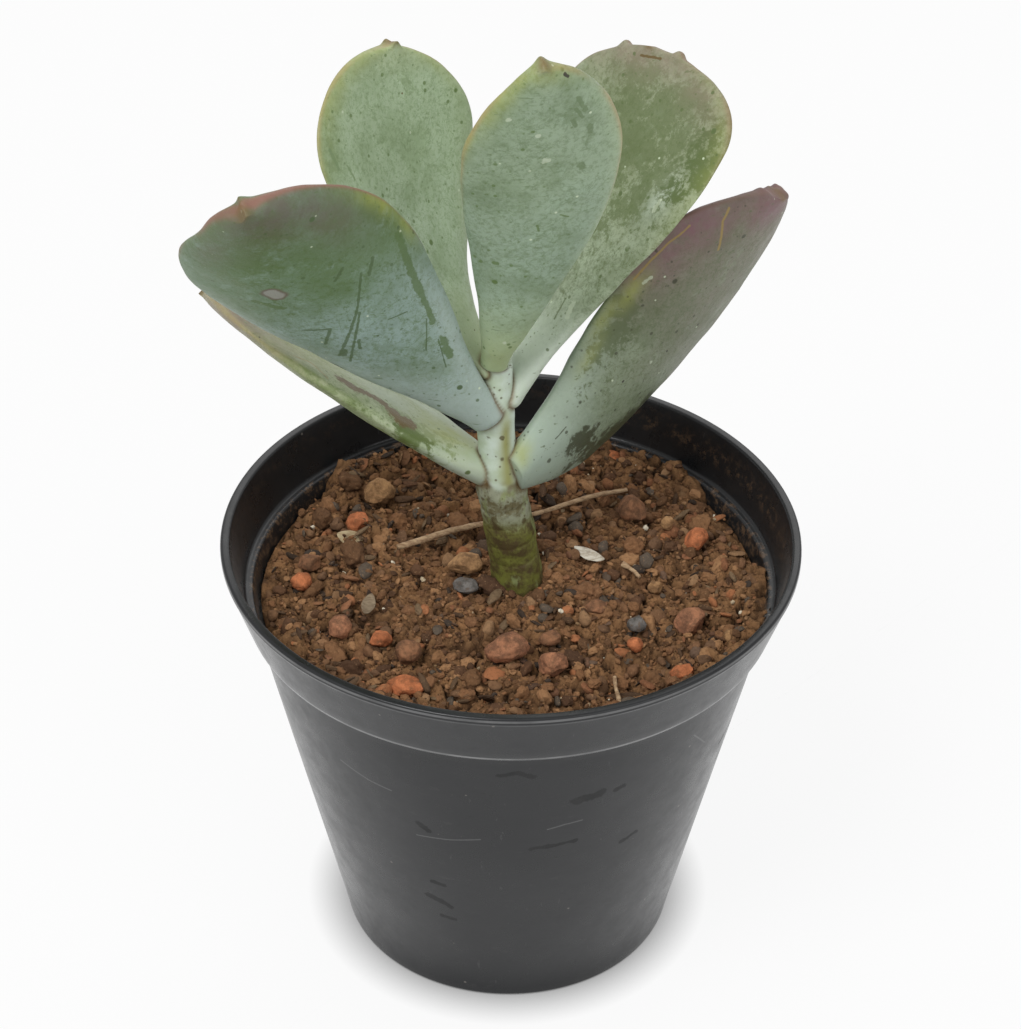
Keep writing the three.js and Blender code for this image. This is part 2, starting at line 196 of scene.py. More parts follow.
class Shader:
    """A material and the few node patterns that this scene uses."""

    def __init__(self, name, roughness=0.5, specular=0.5):
        self.material = bpy.data.materials.new(name)
        self.material.use_nodes = True
        self.tree = self.material.node_tree
        self.surface = self.tree.nodes["Principled BSDF"]
        self.surface.inputs["Roughness"].default_value = roughness
        self.surface.inputs["Specular IOR Level"].default_value = specular
        self.place = self.node("ShaderNodeTexCoord").outputs["Object"]

    def node(self, kind, **settings):
        made = self.tree.nodes.new(kind)
        for key, value in settings.items():
            setattr(made, key, value)
        return made

    def link(self, source, target):
        if isinstance(source, (int, float)):
            target.default_value = source
        elif isinstance(source, tuple):
            target.default_value = source if len(source) == len(target.default_value) else (*source, 1.0)
        else:
            self.tree.links.new(source, target)

    def attribute(self, name):
        return self.node("ShaderNodeAttribute", attribute_name=name).outputs["Fac"]

    def noise(self, size_mm, detail=4.0, rough=0.55, distort=0.0, stretch=(1, 1, 1), turn=(0, 0, 0)):
        """Noise from about 0 to 1, with blobs of the given size in millimetres."""
        mapping = self.node("ShaderNodeMapping")
        self.link(self.place, mapping.inputs["Vector"])
        mapping.inputs["Scale"].default_value = stretch
        mapping.inputs["Rotation"].default_value = turn
        made = self.node("ShaderNodeTexNoise")
        self.link(mapping.outputs["Vector"], made.inputs["Vector"])
        made.inputs["Scale"].default_value = 1 / (size_mm * MM)
        made.inputs["Detail"].default_value = detail
        made.inputs["Roughness"].default_value = rough
        made.inputs["Distortion"].default_value = distort
        return made.outputs["Fac"]

    def cells(self, size_mm):
        """Distance to the nearest of scattered points, in cells of the given size in millimetres."""
        made = self.node("ShaderNodeTexVoronoi", feature="F1")
        self.link(self.place, made.inputs["Vector"])
        made.inputs["Scale"].default_value = 1 / (size_mm * MM)
        return made.outputs["Distance"]

    def math(self, operation, a, b=0.0, clamp=False):
        made = self.node("ShaderNodeMath", operation=operation, use_clamp=clamp)
        self.link(a, made.inputs[0])
        self.link(b, made.inputs[1])
        return made.outputs[0]

    def plus(self, a, b):
        return self.math("ADD", a, b)

    def minus(self, a, b):
        return self.math("SUBTRACT", a, b)

    def times(self, a, b):
        return self.math("MULTIPLY", a, b)

    def band(self, value, low, high, to_low=0.0, to_high=1.0):
        """value taken smoothly from low..high to to_low..to_high."""
        made = self.node("ShaderNodeMapRange", interpolation_type="SMOOTHSTEP")
        self.link(value, made.inputs["Value"])
        made.inputs["From Min"].default_value = low
        made.inputs["From Max"].default_value = high
        made.inputs["To Min"].default_value = to_low
        made.inputs["To Max"].default_value = to_high
        return made.outputs[0]

    def mix(self, amount, a, b):
        made = self.node("ShaderNodeMix", data_type="RGBA")
        self.link(amount, made.inputs[0])
        self.link(a, made.inputs[6])
        self.link(b, made.inputs[7])
        return made.outputs[2]

    def bump(self, height, distance_mm, strength=1.0, under=None):
        """A normal with height as relief, on top of the normal under."""
        made = self.node("ShaderNodeBump")
        self.link(height, made.inputs["Height"])
        made.inputs["Distance"].default_value = distance_mm * MM
        made.inputs["Strength"].default_value = strength
        if under is not None:
            self.link(under, made.inputs["Normal"])
        return made.outputs["Normal"]

    def strokes(self, place, lines, ragged=0.5, grain_mm=0.8):
        """A mask that is 1 on the lines: each is (width, [points]) in the plane of place."""
        nearest = None
        for width, points in lines:
            pairs = list(zip(points[:-1], points[1:])) or [(points[0], points[0])]
            for start, end in pairs:
                distance = self.math("DIVIDE", self.segment_distance(place, start, end), width / 2)
                nearest = distance if nearest is None else self.math("MINIMUM", nearest, distance)
        wobble = self.times(self.minus(self.noise(grain_mm, detail=4), 0.5), 4 * ragged)
        return self.band(self.plus(nearest, wobble), 0.75, 1.25, 1.0, 0.0)

    def segment_distance(self, place, start, end):
        """The distance from place to the straight line between two points."""
        a, b = Vector((*start, 0)), Vector((*end, 0))
        along = b - a
        offset = self.node("ShaderNodeVectorMath", operation="SUBTRACT")
        self.link(place, offset.inputs[0])
        offset.inputs[1].default_value = a
        if along.length > 0:
            dot = self.node("ShaderNodeVectorMath", operation="DOT_PRODUCT")
            self.link(offset.outputs[0], dot.inputs[0])
            dot.inputs[1].default_value = along / along.length_squared
            share = self.math("ADD", dot.outputs["Value"], 0.0, clamp=True)
            reach = self.node("ShaderNodeVectorMath", operation="SCALE")
            reach.inputs[0].default_value = along
            self.link(share, reach.inputs["Scale"])
            rest = self.node("ShaderNodeVectorMath", operation="SUBTRACT")
            self.link(offset.outputs[0], rest.inputs[0])
            self.link(reach.outputs[0], rest.inputs[1])
            offset = rest
        length = self.node("ShaderNodeVectorMath", operation="LENGTH")
        self.link(offset.outputs[0], length.inputs[0])
        return length.outputs["Value"]

    def plane(self, u, v):
        made = self.node("ShaderNodeCombineXYZ")
        self.link(u, made.inputs[0])
        self.link(v, made.inputs[1])
        return made.outputs[0]

    def finish(self, color, roughness=None, normal=None):
        self.link(color, self.surface.inputs["Base Color"])
        if roughness is not None:
            self.link(roughness, self.surface.inputs["Roughness"])
        if normal is not None:
            self.link(normal, self.surface.inputs["Normal"])
        return self.material


def srgb(red, green, blue):
    """A colour given as 0..255 screen values, as the linear colour that shaders use."""
    shares = (red / 255, green / 255, blue / 255)
    return tuple(c / 12.92 if c <= 0.04045 else ((c + 0.055) / 1.055) ** 2.4 for c in shares)


# ---- camera, floor and light --------------------------------------------------------

VIEW_ELEVATION = math.radians(36.19)
VIEW_DISTANCE = 514.4
VIEW_TARGET = Vector((-0.145, 0.0, 85.52))
VIEW_ROLL = 0.011
VIEW_LENS = 104.96


def make_camera():
    """The camera at the photograph's angle, straight in front of the pot and above it."""
    data = bpy.data.cameras.new("camera")
    data.lens = VIEW_LENS
    data.sensor_width = 36
    data.clip_start = 0.01
    camera = bpy.data.objects.new("camera", data)
    bpy.context.scene.collection.objects.link(camera)
    back = Vector((0, -math.cos(VIEW_ELEVATION), math.sin(VIEW_ELEVATION)))
    camera.location = (VIEW_TARGET + back * VIEW_DISTANCE) * MM
    turn = (-back).to_track_quat("-Z", "Y").to_matrix().to_4x4()
    camera.rotation_euler = (turn @ Matrix.Rotation(VIEW_ROLL, 4, "Z")).to_euler()
    bpy.context.scene.camera = camera


FLOOR_HALF = 6.0              # metres
FLOOR_ALBEDO = 0.08
FLOOR_GLOW = 0.875
PAINTED_SHADOW_REACH = 0.0075        # metres round the pot in which the floor's glow is darkened as a painted contact shadow
WORLD_LIGHT = 0.72


def make_floor():
    """A pale floor that glows a little, with a painted contact shadow that darkens its glow close to the pot.
    """
    mesh = bpy.data.meshes.new("floor")
    corners = [(x * FLOOR_HALF, y * FLOOR_HALF, 0) for x, y in ((-1, -1), (1, -1), (1, 1), (-1, 1))]
    mesh.from_pydata(corners, [], [(0, 1, 2, 3)])
    floor = bpy.data.objects.new("floor", mesh)
    bpy.context.scene.collection.objects.link(floor)
    shader = Shader("floor", roughness=0.9, specular=0.0)
    shader.surface.inputs["Base Color"].default_value = (FLOOR_ALBEDO, FLOOR_ALBEDO, FLOOR_ALBEDO, 1)
    shader.surface.inputs["Emission Color"].default_value = (1, 1, 1, 1)
    # Painted contact shadow: ambient occlusion dims the floor's glow close to the pot.
    painted_contact_shadow = shader.node("ShaderNodeAmbientOcclusion")
    painted_contact_shadow.inputs["Distance"].default_value = PAINTED_SHADOW_REACH
    glow_with_painted_shadow = shader.times(painted_contact_shadow.outputs["AO"], FLOOR_GLOW)
    shader.link(glow_with_painted_shadow, shader.surface.inputs["Emission Strength"])
    mesh.materials.append(shader.material)


def make_light(name, location, size, power, target=(0, 0, 0.09)):
    """A square area light that points at target."""
    data = bpy.data.lights.new(name, "AREA")
    data.shape = "SQUARE"
    data.size = size
    data.energy = power
    light = bpy.data.objects.new(name, data)
    bpy.context.scene.collection.objects.link(light)
    light.location = location
    light.rotation_euler = (Vector(target) - Vector(location)).to_track_quat("-Z", "Y").to_euler()


def make_lights():
    """Soft light from the front left, the right and behind, an even white world, and plain colour."""
    make_light("key", (-0.45, -0.55, 1.1), 0.5, 9.5)
    make_light("fill", (0.75, -0.75, 0.6), 0.8, 3.2)
    make_light("back", (0.1, 0.9, 0.9), 0.8, 3.0)
    world = bpy.data.worlds.new("studio")
    world.use_nodes = True
    world.node_tree.nodes["Background"].inputs["Color"].default_value = (1, 1, 1, 1)
    world.node_tree.nodes["Background"].inputs["Strength"].default_value = WORLD_LIGHT
    scene = bpy.context.scene
    scene.world = world
    scene.view_settings.view_transform = "Standard"
    scene.view_settings.look = "None"


# ---- pot ----------------------------------------------------------------------------

POT_HEIGHT = 81.7
RIM_RADIUS = 50.0
RIM_INNER = 48.4
COLLAR_FOOT_Z = 69.7
COLLAR_FOOT_RADIUS = 46.27
LEDGE_Z = 72.3
LEDGE_OUTER = 46.2
LEDGE_INNER = 44.7
BODY_TOP_RADIUS = 45.0
BODY_FOOT_RADIUS = 31.0
FOOT_HEIGHT = 6.0
BASE_RADIUS = 29.85
WALL = 1.1
FLOOR = 1.4
DRAIN_COUNT = 6
DRAIN_RADIUS = 4.0
DRAIN_CIRCLE = 20.0


def rounded_profile(corners):
    """A closed profile with each corner (radius, z, rounding) turned by a small arc."""
    out = []
    count = len(corners)
    for i, (radius, z, rounding) in enumerate(corners):
        here = np.array([radius, z])
        if rounding <= 0:
            out.append(here)
            continue
        before = np.array(corners[i - 1][:2]) - here
        after = np.array(corners[(i + 1) % count][:2]) - here
        reach_before = min(rounding, 0.45 * np.linalg.norm(before))
        reach_after = min(rounding, 0.45 * np.linalg.norm(after))
        start = here + before / np.linalg.norm(before) * reach_before
        end = here + after / np.linalg.norm(after) * reach_after
        for t in np.linspace(0, 1, 5):
            out.append((1 - t) ** 2 * start + 2 * t * (1 - t) * here + t ** 2 * end)
    return np.array(out)


def subdivide_profile(profile, longest):
    """The profile with no step longer than longest."""
    out = []
    for a, b in zip(profile[:-1], profile[1:]):
        pieces = max(1, math.ceil(np.linalg.norm(b - a) / longest))
        out.extend(a + (b - a) * k / pieces for k in range(pieces))
    out.append(profile[-1])
    return np.array(out)


# Marks on the pot's wall: (width mm, [(degrees round from the front, height mm), ...]).
POT_SCUFFS = [
    (1.1, [(-1.8, 64.5), (1.8, 65.3), (5.3, 64.1)]), (2.0, [(16, 56.2), (21, 56.9)]),
    (1.2, [(25.3, 56.6), (27, 57.4)]), (0.9, [(-20.8, 32), (-17.3, 31.7)]),
    (1.3, [(-22.7, 27.6), (-19.4, 26.9), (-16.3, 25.6)]), (0.9, [(-19.2, 22.3), (-15.2, 21.9)]),
    (1.3, [(-21.9, 48.1), (-19.7, 46.6)]), (1.0, [(6, 44.2), (16.8, 45)]),
    (1.0, [(30.3, 40.8), (34.1, 42)]), (0.8, [(64, 50), (70, 52)]), (1.2, [(118, 40), (124, 41)]),
    (1.4, [(168, 55), (176, 54)]), (1.0, [(-118, 30), (-112, 31.5)]), (1.1, [(-80, 58), (-75, 57)]),
]
POT_SCRATCHES = [
    (0.28, [(-23, 44.6), (-14.2, 45.4), (-6.7, 46.6)]), (0.3, [(9.5, 49.3), (13.6, 50.1), (17.8, 50.5)]),
    (0.3, [(-42, 56.8), (-34, 55.4), (-28, 55)]), (0.25, [(46, 62), (52, 57)]), (0.3, [(150, 30), (162, 34)]),
    (0.3, [(-150, 60), (-138, 55)]),
]
ARC_MM = 38 * math.pi / 180   # arc length of a degree at the wall's mean radius
WORN_HIGHLIGHT_LINE = 0.3               # half the breadth of the painted highlight lines, broken up like wear, at the collar's foot and the rim
POT_SIDES = 240


def on_wall(lines):
    """The lines with their degrees turned to millimetres round the wall."""
    return [(width, [(degrees * ARC_MM, height) for degrees, height in points]) for width, points in lines]


def pot_material():
    """Black moulded plastic with scuffs, scratches, pits, dust, worn edges with painted highlights, and soil
    dirt inside.
    """
    s = Shader("pot_plastic", roughness=0.34, specular=0.24)
    s.surface.inputs["Coat Weight"].default_value = 0.15
    s.surface.inputs["Coat Roughness"].default_value = 0.22
    s.surface.inputs["Sheen Weight"].default_value = 0.15
    s.surface.inputs["Sheen Roughness"].default_value = 0.2
    axes = s.node("ShaderNodeSeparateXYZ")
    s.link(s.place, axes.inputs[0])
    x, y, z = axes.outputs
    height = s.times(z, 1 / MM)
    squares = s.plus(s.times(x, x), s.times(y, y))
    reach = s.times(s.math("SQRT", squares), 1 / MM)
    round_mm = s.times(s.math("ARCTAN2", x, s.times(y, -1.0)), 180 / math.pi * ARC_MM)
    wall = s.plane(round_mm, height)
    outside = s.band(s.attribute("outside"), 0.4, 0.6)
    scuff = s.times(s.strokes(wall, on_wall(POT_SCUFFS), 0.6, 1.5), outside)
    scratch = s.times(s.strokes(wall, on_wall(POT_SCRATCHES), 0.2, 0.8), outside)
    broad = s.noise(20, detail=4)
    smear = s.band(s.noise(3.5, detail=6, rough=0.7, stretch=(1, 1, 2.2)), 0.58, 0.72)
    fine_lines = s.band(s.noise(0.8, detail=3, stretch=(1, 1, 0.05), turn=(0.5, 0.25, 0)), 0.69, 0.74)
    dust = s.band(s.cells(5.5), 0.03, 0.055, 1.0, 0.0)
    pits = s.band(s.noise(1.5, detail=4, rough=0.6, stretch=(1, 1, 2.6)), 0.6, 0.66)
    pits = s.times(pits, s.band(s.noise(13, detail=3), 0.5, 0.6))
    color = s.mix(s.band(broad, 0.3, 0.7), (0.009, 0.0095, 0.0105), (0.0135, 0.014, 0.015))
    color = s.mix(s.times(smear, 0.12), color, (0.075, 0.073, 0.07))
    color = s.mix(s.times(fine_lines, 0.16), color, (0.12, 0.12, 0.12))
    color = s.mix(s.times(dust, 0.5), color, (0.2, 0.18, 0.16))
    color = s.mix(s.times(s.times(pits, outside), 0.6), color, (0.004, 0.004, 0.004))
    color = s.mix(s.times(scuff, 0.7), color, (0.004, 0.004, 0.004))
    color = s.mix(s.times(scratch, 0.35), color, (0.16, 0.16, 0.16))
    # The step under the collar and the rim's outer edge get thin light lines: painted highlights where the
    # edges catch the light, broken up like worn plastic.
    broken = s.band(s.noise(9, detail=4), 0.3, 0.6, 0.45, 1.0)
    beyond_wall = s.band(reach, COLLAR_FOOT_RADIUS - 0.67, COLLAR_FOOT_RADIUS - 0.37)
    on_collar = s.times(outside, beyond_wall)
    for centre, strength in ((COLLAR_FOOT_Z + 0.62, 0.8), (POT_HEIGHT - 0.6, 0.5)):
        away = s.math("ABSOLUTE", s.minus(height, centre))
        line = s.band(away, WORN_HIGHLIGHT_LINE * 0.5, WORN_HIGHLIGHT_LINE, strength, 0.0)
        line = s.times(s.times(line, broken), on_collar)
        color = s.mix(line, color, (0.21, 0.21, 0.21))
    dirt = s.times(s.attribute("dirt"), s.band(s.noise(1.5, detail=8, rough=0.8), 0.5, 0.58))
    color = s.mix(dirt, color, (0.105, 0.066, 0.04))
    rough = s.band(s.noise(5, detail=6, rough=0.7), 0.3, 0.75, 0.25, 0.4)
    rough = s.plus(rough, s.times(scuff, 0.25))
    normal = s.bump(s.noise(0.35, detail=3), 0.015, 0.3)
    normal = s.bump(s.noise(12, detail=2), 0.2, 0.5, under=normal)
    return s.finish(color, rough, normal)


def make_pot(material):
    """The moulded pot: one turned wall, a floor with drain holes and the marks' attributes."""
    corners = [
        (BASE_RADIUS, 0.0, 0.7), (BODY_FOOT_RADIUS, FOOT_HEIGHT, 2.2), (BODY_TOP_RADIUS, COLLAR_FOOT_Z, 0.5),
        (COLLAR_FOOT_RADIUS, COLLAR_FOOT_Z, 0.55), (RIM_RADIUS - 0.25, POT_HEIGHT - 1.6, 0.3),
        (RIM_RADIUS, POT_HEIGHT - 1.2, 0.3), (RIM_RADIUS, POT_HEIGHT, 0.5), (RIM_INNER, POT_HEIGHT, 0.45),
        (LEDGE_OUTER, LEDGE_Z, 0.8), (LEDGE_INNER, LEDGE_Z, 0.5),
        (BODY_TOP_RADIUS - WALL, COLLAR_FOOT_Z, 0.8), (BODY_FOOT_RADIUS - WALL, FOOT_HEIGHT, 1.0),
        (BASE_RADIUS - WALL, FLOOR, 0.5),
    ]
    profile = subdivide_profile(rounded_profile(corners), 2.5)
    angles = np.linspace(0, 2 * math.pi, POT_SIDES, endpoint=False)
    radius, height = profile[:, 0], profile[:, 1]
    wall = np.stack([
        radius[:, None] * np.cos(angles), radius[:, None] * np.sin(angles), height[:, None] + 0 * angles], -1)
    # The thin plastic isn't perfectly round: it swells and sinks by a tenth of a millimetre or two.
    flat = wall.reshape(-1, 3)
    wander = 0.16 * smooth_noise(flat * (1, 1, 0.6), 26, 5) * ramp01(flat[:, 2], 0, 12)
    out = flat * (1, 1, 0) / np.linalg.norm(flat[:, :2], axis=1)[:, None]
    flat = flat + out * wander[:, None]
    rings = len(profile)
    points = flat.tolist()
    first_ring = list(range(POT_SIDES))
    last_ring = list(range((rings - 1) * POT_SIDES, rings * POT_SIDES))
    mesh_faces = outward_shell(points, loft_faces(rings, POT_SIDES, closed_ends=False))
    mesh_faces = mesh_faces + pot_floor(points, first_ring, 0.0, down=True)
    mesh_faces = mesh_faces + pot_floor(points, last_ring, FLOOR, down=False)
    mesh_faces = mesh_faces + drain_walls()
    p = np.array(points)
    reach = np.linalg.norm(p[:, :2], axis=1)
    inside = reach < np.interp(p[:, 2], [0, FOOT_HEIGHT, COLLAR_FOOT_Z, POT_HEIGHT], [29.4, 30.4, 44.5, 49.0])
    dirt = inside * ramp01(-np.abs(p[:, 2] - 73.5), -7.5, -1.0) * 0.9
    make_object("pot_shell", p, mesh_faces, material, ["pot"],
                attributes={"outside": 1.0 - inside, "dirt": dirt})


def outward_shell(points, faces):
    """Turns the wall's faces so that the outermost ones face out."""
    p = np.array(points)
    a, b, c, _ = faces[len(faces) // 12]
    normal = np.cross(p[b] - p[a], p[c] - p[a])
    return faces if np.dot(normal[:2], p[a][:2]) > 0 else [tuple(reversed(f)) for f in faces]


def drain_centres():
    for hole in range(DRAIN_COUNT):
        angle = 2 * math.pi * hole / DRAIN_COUNT
        yield DRAIN_CIRCLE * math.cos(angle), DRAIN_CIRCLE * math.sin(angle)


DRAIN_SIDES = 32
drain_rings = {}              # for each hole, its rings of points in the floor's lower and upper face


def pot_floor(points, rim, z, down):
    """Fills the pot's floor, around the drain holes, with triangles."""
    work = bmesh.new()
    index_of = {}
    loops = [[(points[i][0], points[i][1]) for i in rim]]
    turns = [2 * math.pi * k / DRAIN_SIDES for k in range(DRAIN_SIDES)]
    circle = [(DRAIN_RADIUS * math.cos(turn), DRAIN_RADIUS * math.sin(turn)) for turn in turns]
    for x, y in drain_centres():
        loops.append([(x + across, y + along) for across, along in circle])
    edges = []
    for number, loop in enumerate(loops):
        made = []
        for k, (x, y) in enumerate(loop):
            vertex = work.verts.new((x, y, 0))
            if number == 0:
                index_of[vertex] = rim[k]
            else:
                points.append([x, y, z])
                index_of[vertex] = len(points) - 1
            made.append(vertex)
        if number:
            drain_rings.setdefault(number, []).append([index_of[v] for v in made])
        edges += [work.edges.new(pair) for pair in zip(made, made[1:] + made[:1])]
    filled = bmesh.ops.triangle_fill(work, use_beauty=True, use_dissolve=False, edges=edges)
    faces = []
    for face in filled["geom"]:
        if isinstance(face, bmesh.types.BMFace):
            corners = [index_of[v] for v in face.verts]
            a, b, c = (np.array(points[i]) for i in corners[:3])
            looks_up = np.cross(b - a, c - a)[2] > 0
            faces.append(tuple(reversed(corners)) if looks_up == down else tuple(corners))
    work.free()
    return faces


def drain_walls():
    """The walls of the drain holes, between the floor's lower and upper face."""
    faces = []
    for low, high in drain_rings.values():
        for k in range(DRAIN_SIDES):
            after = (k + 1) % DRAIN_SIDES
            faces.append((low[k], high[k], high[after], low[after]))
    return faces


# ---- leaves -------------------------------------------------------------------------

# The frame's six leaves, in millimetres and degrees. A leaf sets out from its base along azimuth and
# elevation, rolled about its own line, and by its tip it has turned by bend, sway and twist. It widens
# from waist to width at the share of its length called widest; flare and blunt shape that outline. cup
# curls it across, skew makes one side wider, and thick is its thickness at the foot and the tip.
LEAVES = {
    "leaf_lower_right": dict(
        base=(0, -2.0, 96.3), azimuth=41.5, elevation=14.5, bend=-15, sway=-46.5, roll=-89, twist=15.5,
        length=66.5, waist=7.5, width=46.5, widest=0.79, flare=1, blunt=1.74, cup=0.54, skew=0.2,
        thick=(5.6, 3.8), horns=((-3.4, 0.5), (2.6, 0.6))),
    "leaf_lower_left": dict(
        base=(-3.6, 0.6, 94.1), azimuth=161.5, elevation=26, bend=2.5, sway=2, roll=24, twist=5,
        length=57, waist=8, width=39, widest=0.73, flare=0.9, blunt=2.05, cup=0.15, skew=0.07,
        thick=(5.8, 3.6)),
    "leaf_middle_left": dict(
        base=(-3.5, -1.8, 107.3), azimuth=-160.5, elevation=50, bend=-23.5, sway=9.5, roll=77, twist=-1,
        length=74.5, waist=6.6, width=38, widest=0.69, flare=1.55, blunt=1.66, cup=0.68, skew=-0.19,
        thick=(5, 3.8), trim=(-1, 0.93, 0.05, 0.16), horns=((0.4, 1.0),)),
    "leaf_middle_right": dict(
        base=(-1.2, 2.4, 108.9), azimuth=42, elevation=48.5, bend=13, sway=4.5, roll=-27, twist=25,
        length=62.5, waist=7.6, width=42, widest=0.78, flare=1.65, blunt=2.0, cup=0.08, skew=-0.14,
        thick=(5.4, 3.0), horns=((6.0, 1.0), (-6.0, 0.9))),
    "leaf_top_front": dict(
        base=(-3.5, -1.8, 117.9), azimuth=-63, elevation=70.5, bend=-4, sway=-5, roll=-35, twist=25.5,
        length=71, waist=4.6, width=25, widest=0.7, flare=1.55, blunt=1.65, cup=0.25, skew=0.16,
        thick=(5.4, 3.0)),
    "leaf_top_back": dict(
        base=(-4.0, 1.4, 115.5), azimuth=153.5, elevation=46, bend=40.5, sway=-13, roll=15, twist=-26,
        length=56, waist=7.6, width=38.5, widest=0.7, flare=1.65, blunt=1.86, cup=0.26, skew=0.1,
        thick=(4, 3.0)),
}

# The stem's course: (x, y, z, radius).
STEM_KNOTS = [
    (1.6, 0, 58, 4.2), (1.3, 0, 66, 4.7), (1.1, 0, 73, 4.6), (0.1, 0, 80, 4.2), (-0.9, 0, 87, 3.8),
    (-2.0, 0, 93.8, 4.0), (-2.5, 0, 100, 3.4), (-2.9, 0, 106.5, 3.4), (-2.8, 0, 111.5, 2.9),
    (-2.7, 0, 116.6, 2.6),
]

LEAF_STATIONS = 210
LEAF_SIDES = 144
HORNS = ((0.0, 0.9),)         # the small points at a leaf's tip: (place across, length), in millimetres
HORN_BREADTH = 0.85
FOOT_RINGS = 14
STEM_STEPS = 300
STEM_SIDES = 96
FOOT_DROP = 1.5               # how far below a leaf's base its foot meets the stem's middle


def turn_about(axis, degrees):
    """The matrix of a turn about the x, y or z axis."""
    angle = math.radians(degrees)
    c, s = math.cos(angle), math.sin(angle)
    rows = {
        "x": [(1, 0, 0), (0, c, -s), (0, s, c)],
        "y": [(c, 0, s), (0, 1, 0), (-s, 0, c)],
        "z": [(c, -s, 0), (s, c, 0), (0, 0, 1)],
    }
    return np.array(rows[axis])


def leaf_basis(leaf):
    """The leaf's directions along, across and up at its base."""
    azimuth, elevation = math.radians(leaf["azimuth"]), math.radians(leaf["elevation"])
    level = math.cos(elevation)
    along = np.array([level * math.cos(azimuth), level * math.sin(azimuth), math.sin(elevation)])
    across = np.array([-math.sin(azimuth), math.cos(azimuth), 0])
    up = np.cross(along, across)
    return np.stack([along, across, up], 1) @ turn_about("x", leaf["roll"])


def leaf_turn(leaf, share):
    return (turn_about("z", leaf["sway"] * share) @ turn_about("y", -leaf["bend"] * share)
            @ turn_about("x", leaf["twist"] * share))


def half_width(leaf, share):
    """Half the leaf's breadth at a share of its length."""
    opening = np.sin(np.pi / 2 * np.clip(share / leaf["widest"], 0, 1)) ** leaf["flare"]
    lower = (leaf["waist"] + (leaf["width"] - leaf["waist"]) * opening) / 2
    closing = np.clip((share - leaf["widest"]) / (1 - leaf["widest"]), 0, 1)
    upper = leaf["width"] / 2 * (1 - closing ** leaf["blunt"]) ** (1 / leaf["blunt"])
    return np.where(share <= leaf["widest"], lower, upper)


def stem_middle(z):
    """The middle of the stem at a height."""
    knots = np.array(STEM_KNOTS)
    return np.array([np.interp(z, knots[:, 2], knots[:, 0]), 0.0, z])


def leaf_mesh(leaf, seed):
    """Points, faces and the leaf's own coordinates: along 0..1, across -1..1 and face (1 upper, -1 lower)."""
    start = leaf_basis(leaf)
    shares = 0.9985 * (1 - (1 - np.linspace(0, 1, LEAF_STATIONS)) ** 1.7)
    round_trip = np.linspace(0, 2, LEAF_SIDES, endpoint=False)
    there = np.where(round_trip < 1, round_trip, 2 - round_trip)
    # Evenly spaced over the blade, but closer together round its margins.
    cosine = 0.5 * (1 - 2 * there) + 0.5 * np.cos(np.pi * there)
    sine = np.sqrt(np.clip(1 - cosine ** 2, 0, 1)) * np.where(round_trip < 1, 1, -1)
    centre = np.array(leaf["base"], float)
    before = 0.0
    rings = []
    side_trim, trim_at, trim_spread, trim_depth = leaf.get("trim", (1, 0.5, 1.0, 0.0))
    for share in shares:
        halfway = start @ leaf_turn(leaf, (before + share) / 2)
        centre = centre + halfway[:, 0] * leaf["length"] * (share - before)
        basis = start @ leaf_turn(leaf, share)
        half = float(half_width(leaf, share))
        thickness = leaf["thick"][0] * (1 - share) + leaf["thick"][1] * share
        half_thick = min(thickness / 2, 0.9 * half)
        cup = leaf["cup"] * min(share / 0.4, 1) + 0.001
        radius = half / cup
        widen = np.where(cosine > 0, 1 + leaf["skew"], 1 - leaf["skew"])
        trimmed = trim_depth * math.exp(-((share - trim_at) / trim_spread) ** 2)
        widen = widen * np.where(cosine * side_trim > 0, 1 - trimmed, 1)
        turn = half * widen * cosine / radius
        lift = half_thick * sine
        side = (radius - lift) * np.sin(turn)
        up = radius * (1 - np.cos(turn)) + lift * np.cos(turn)
        point = 0 * side
        for place, length in leaf.get("horns", HORNS):
            point = point + length * np.exp(-((side - place) / HORN_BREADTH) ** 2)
        point = point * ramp01(share, 0.93, 1.0)
        section = side[:, None] * basis[:, 1] + up[:, None] * basis[:, 2]
        rings.append(centre + section + point[:, None] * basis[:, 0])
        before = share
    # The foot narrows into the middle of the stem.
    middle = stem_middle(leaf["base"][2] - FOOT_DROP)
    foot = []
    for share in np.linspace(0, 1, FOOT_RINGS, endpoint=False):
        size = 0.3 + 0.7 * math.sin(math.pi / 2 * share) ** 0.8
        foot.append(middle + (leaf["base"] - middle) * share + (rings[0] - leaf["base"]) * size)
    tip = rings[-1].mean(axis=0) + basis[:, 0] * 0.3
    points = np.vstack([np.array(foot + rings).reshape(-1, 3), [middle], [tip]])
    shares = np.append(np.zeros(FOOT_RINGS), shares)
    stations = len(shares)
    along = np.append(np.repeat(shares, LEAF_SIDES), [0, 1])
    across = np.append(np.tile(cosine, stations), [0, 0])
    face = np.append(np.tile(sine, stations), [0, 0])
    faces = outward(points, loft_faces(stations, LEAF_SIDES))
    points = undulate(points, faces, along, across, seed)
    return points, faces, along, across, face


def vertex_normals(points, faces):
    """The mean direction of the faces round each point."""
    normals = np.zeros_like(points)
    quads = np.array([f if len(f) == 4 else (*f, f[2]) for f in faces])
    a, b, c, d = (points[quads[:, corner]] for corner in range(4))
    face_normals = np.cross(c - a, d - b)
    triangles = quads[:, 2] == quads[:, 3]
    face_normals[triangles] = np.cross((b - a)[triangles], (c - a)[triangles])
    for corner in range(4):
        np.add.at(normals, quads[:, corner], face_normals)
    return normals / np.maximum(np.linalg.norm(normals, axis=1), 1e-12)[:, None]


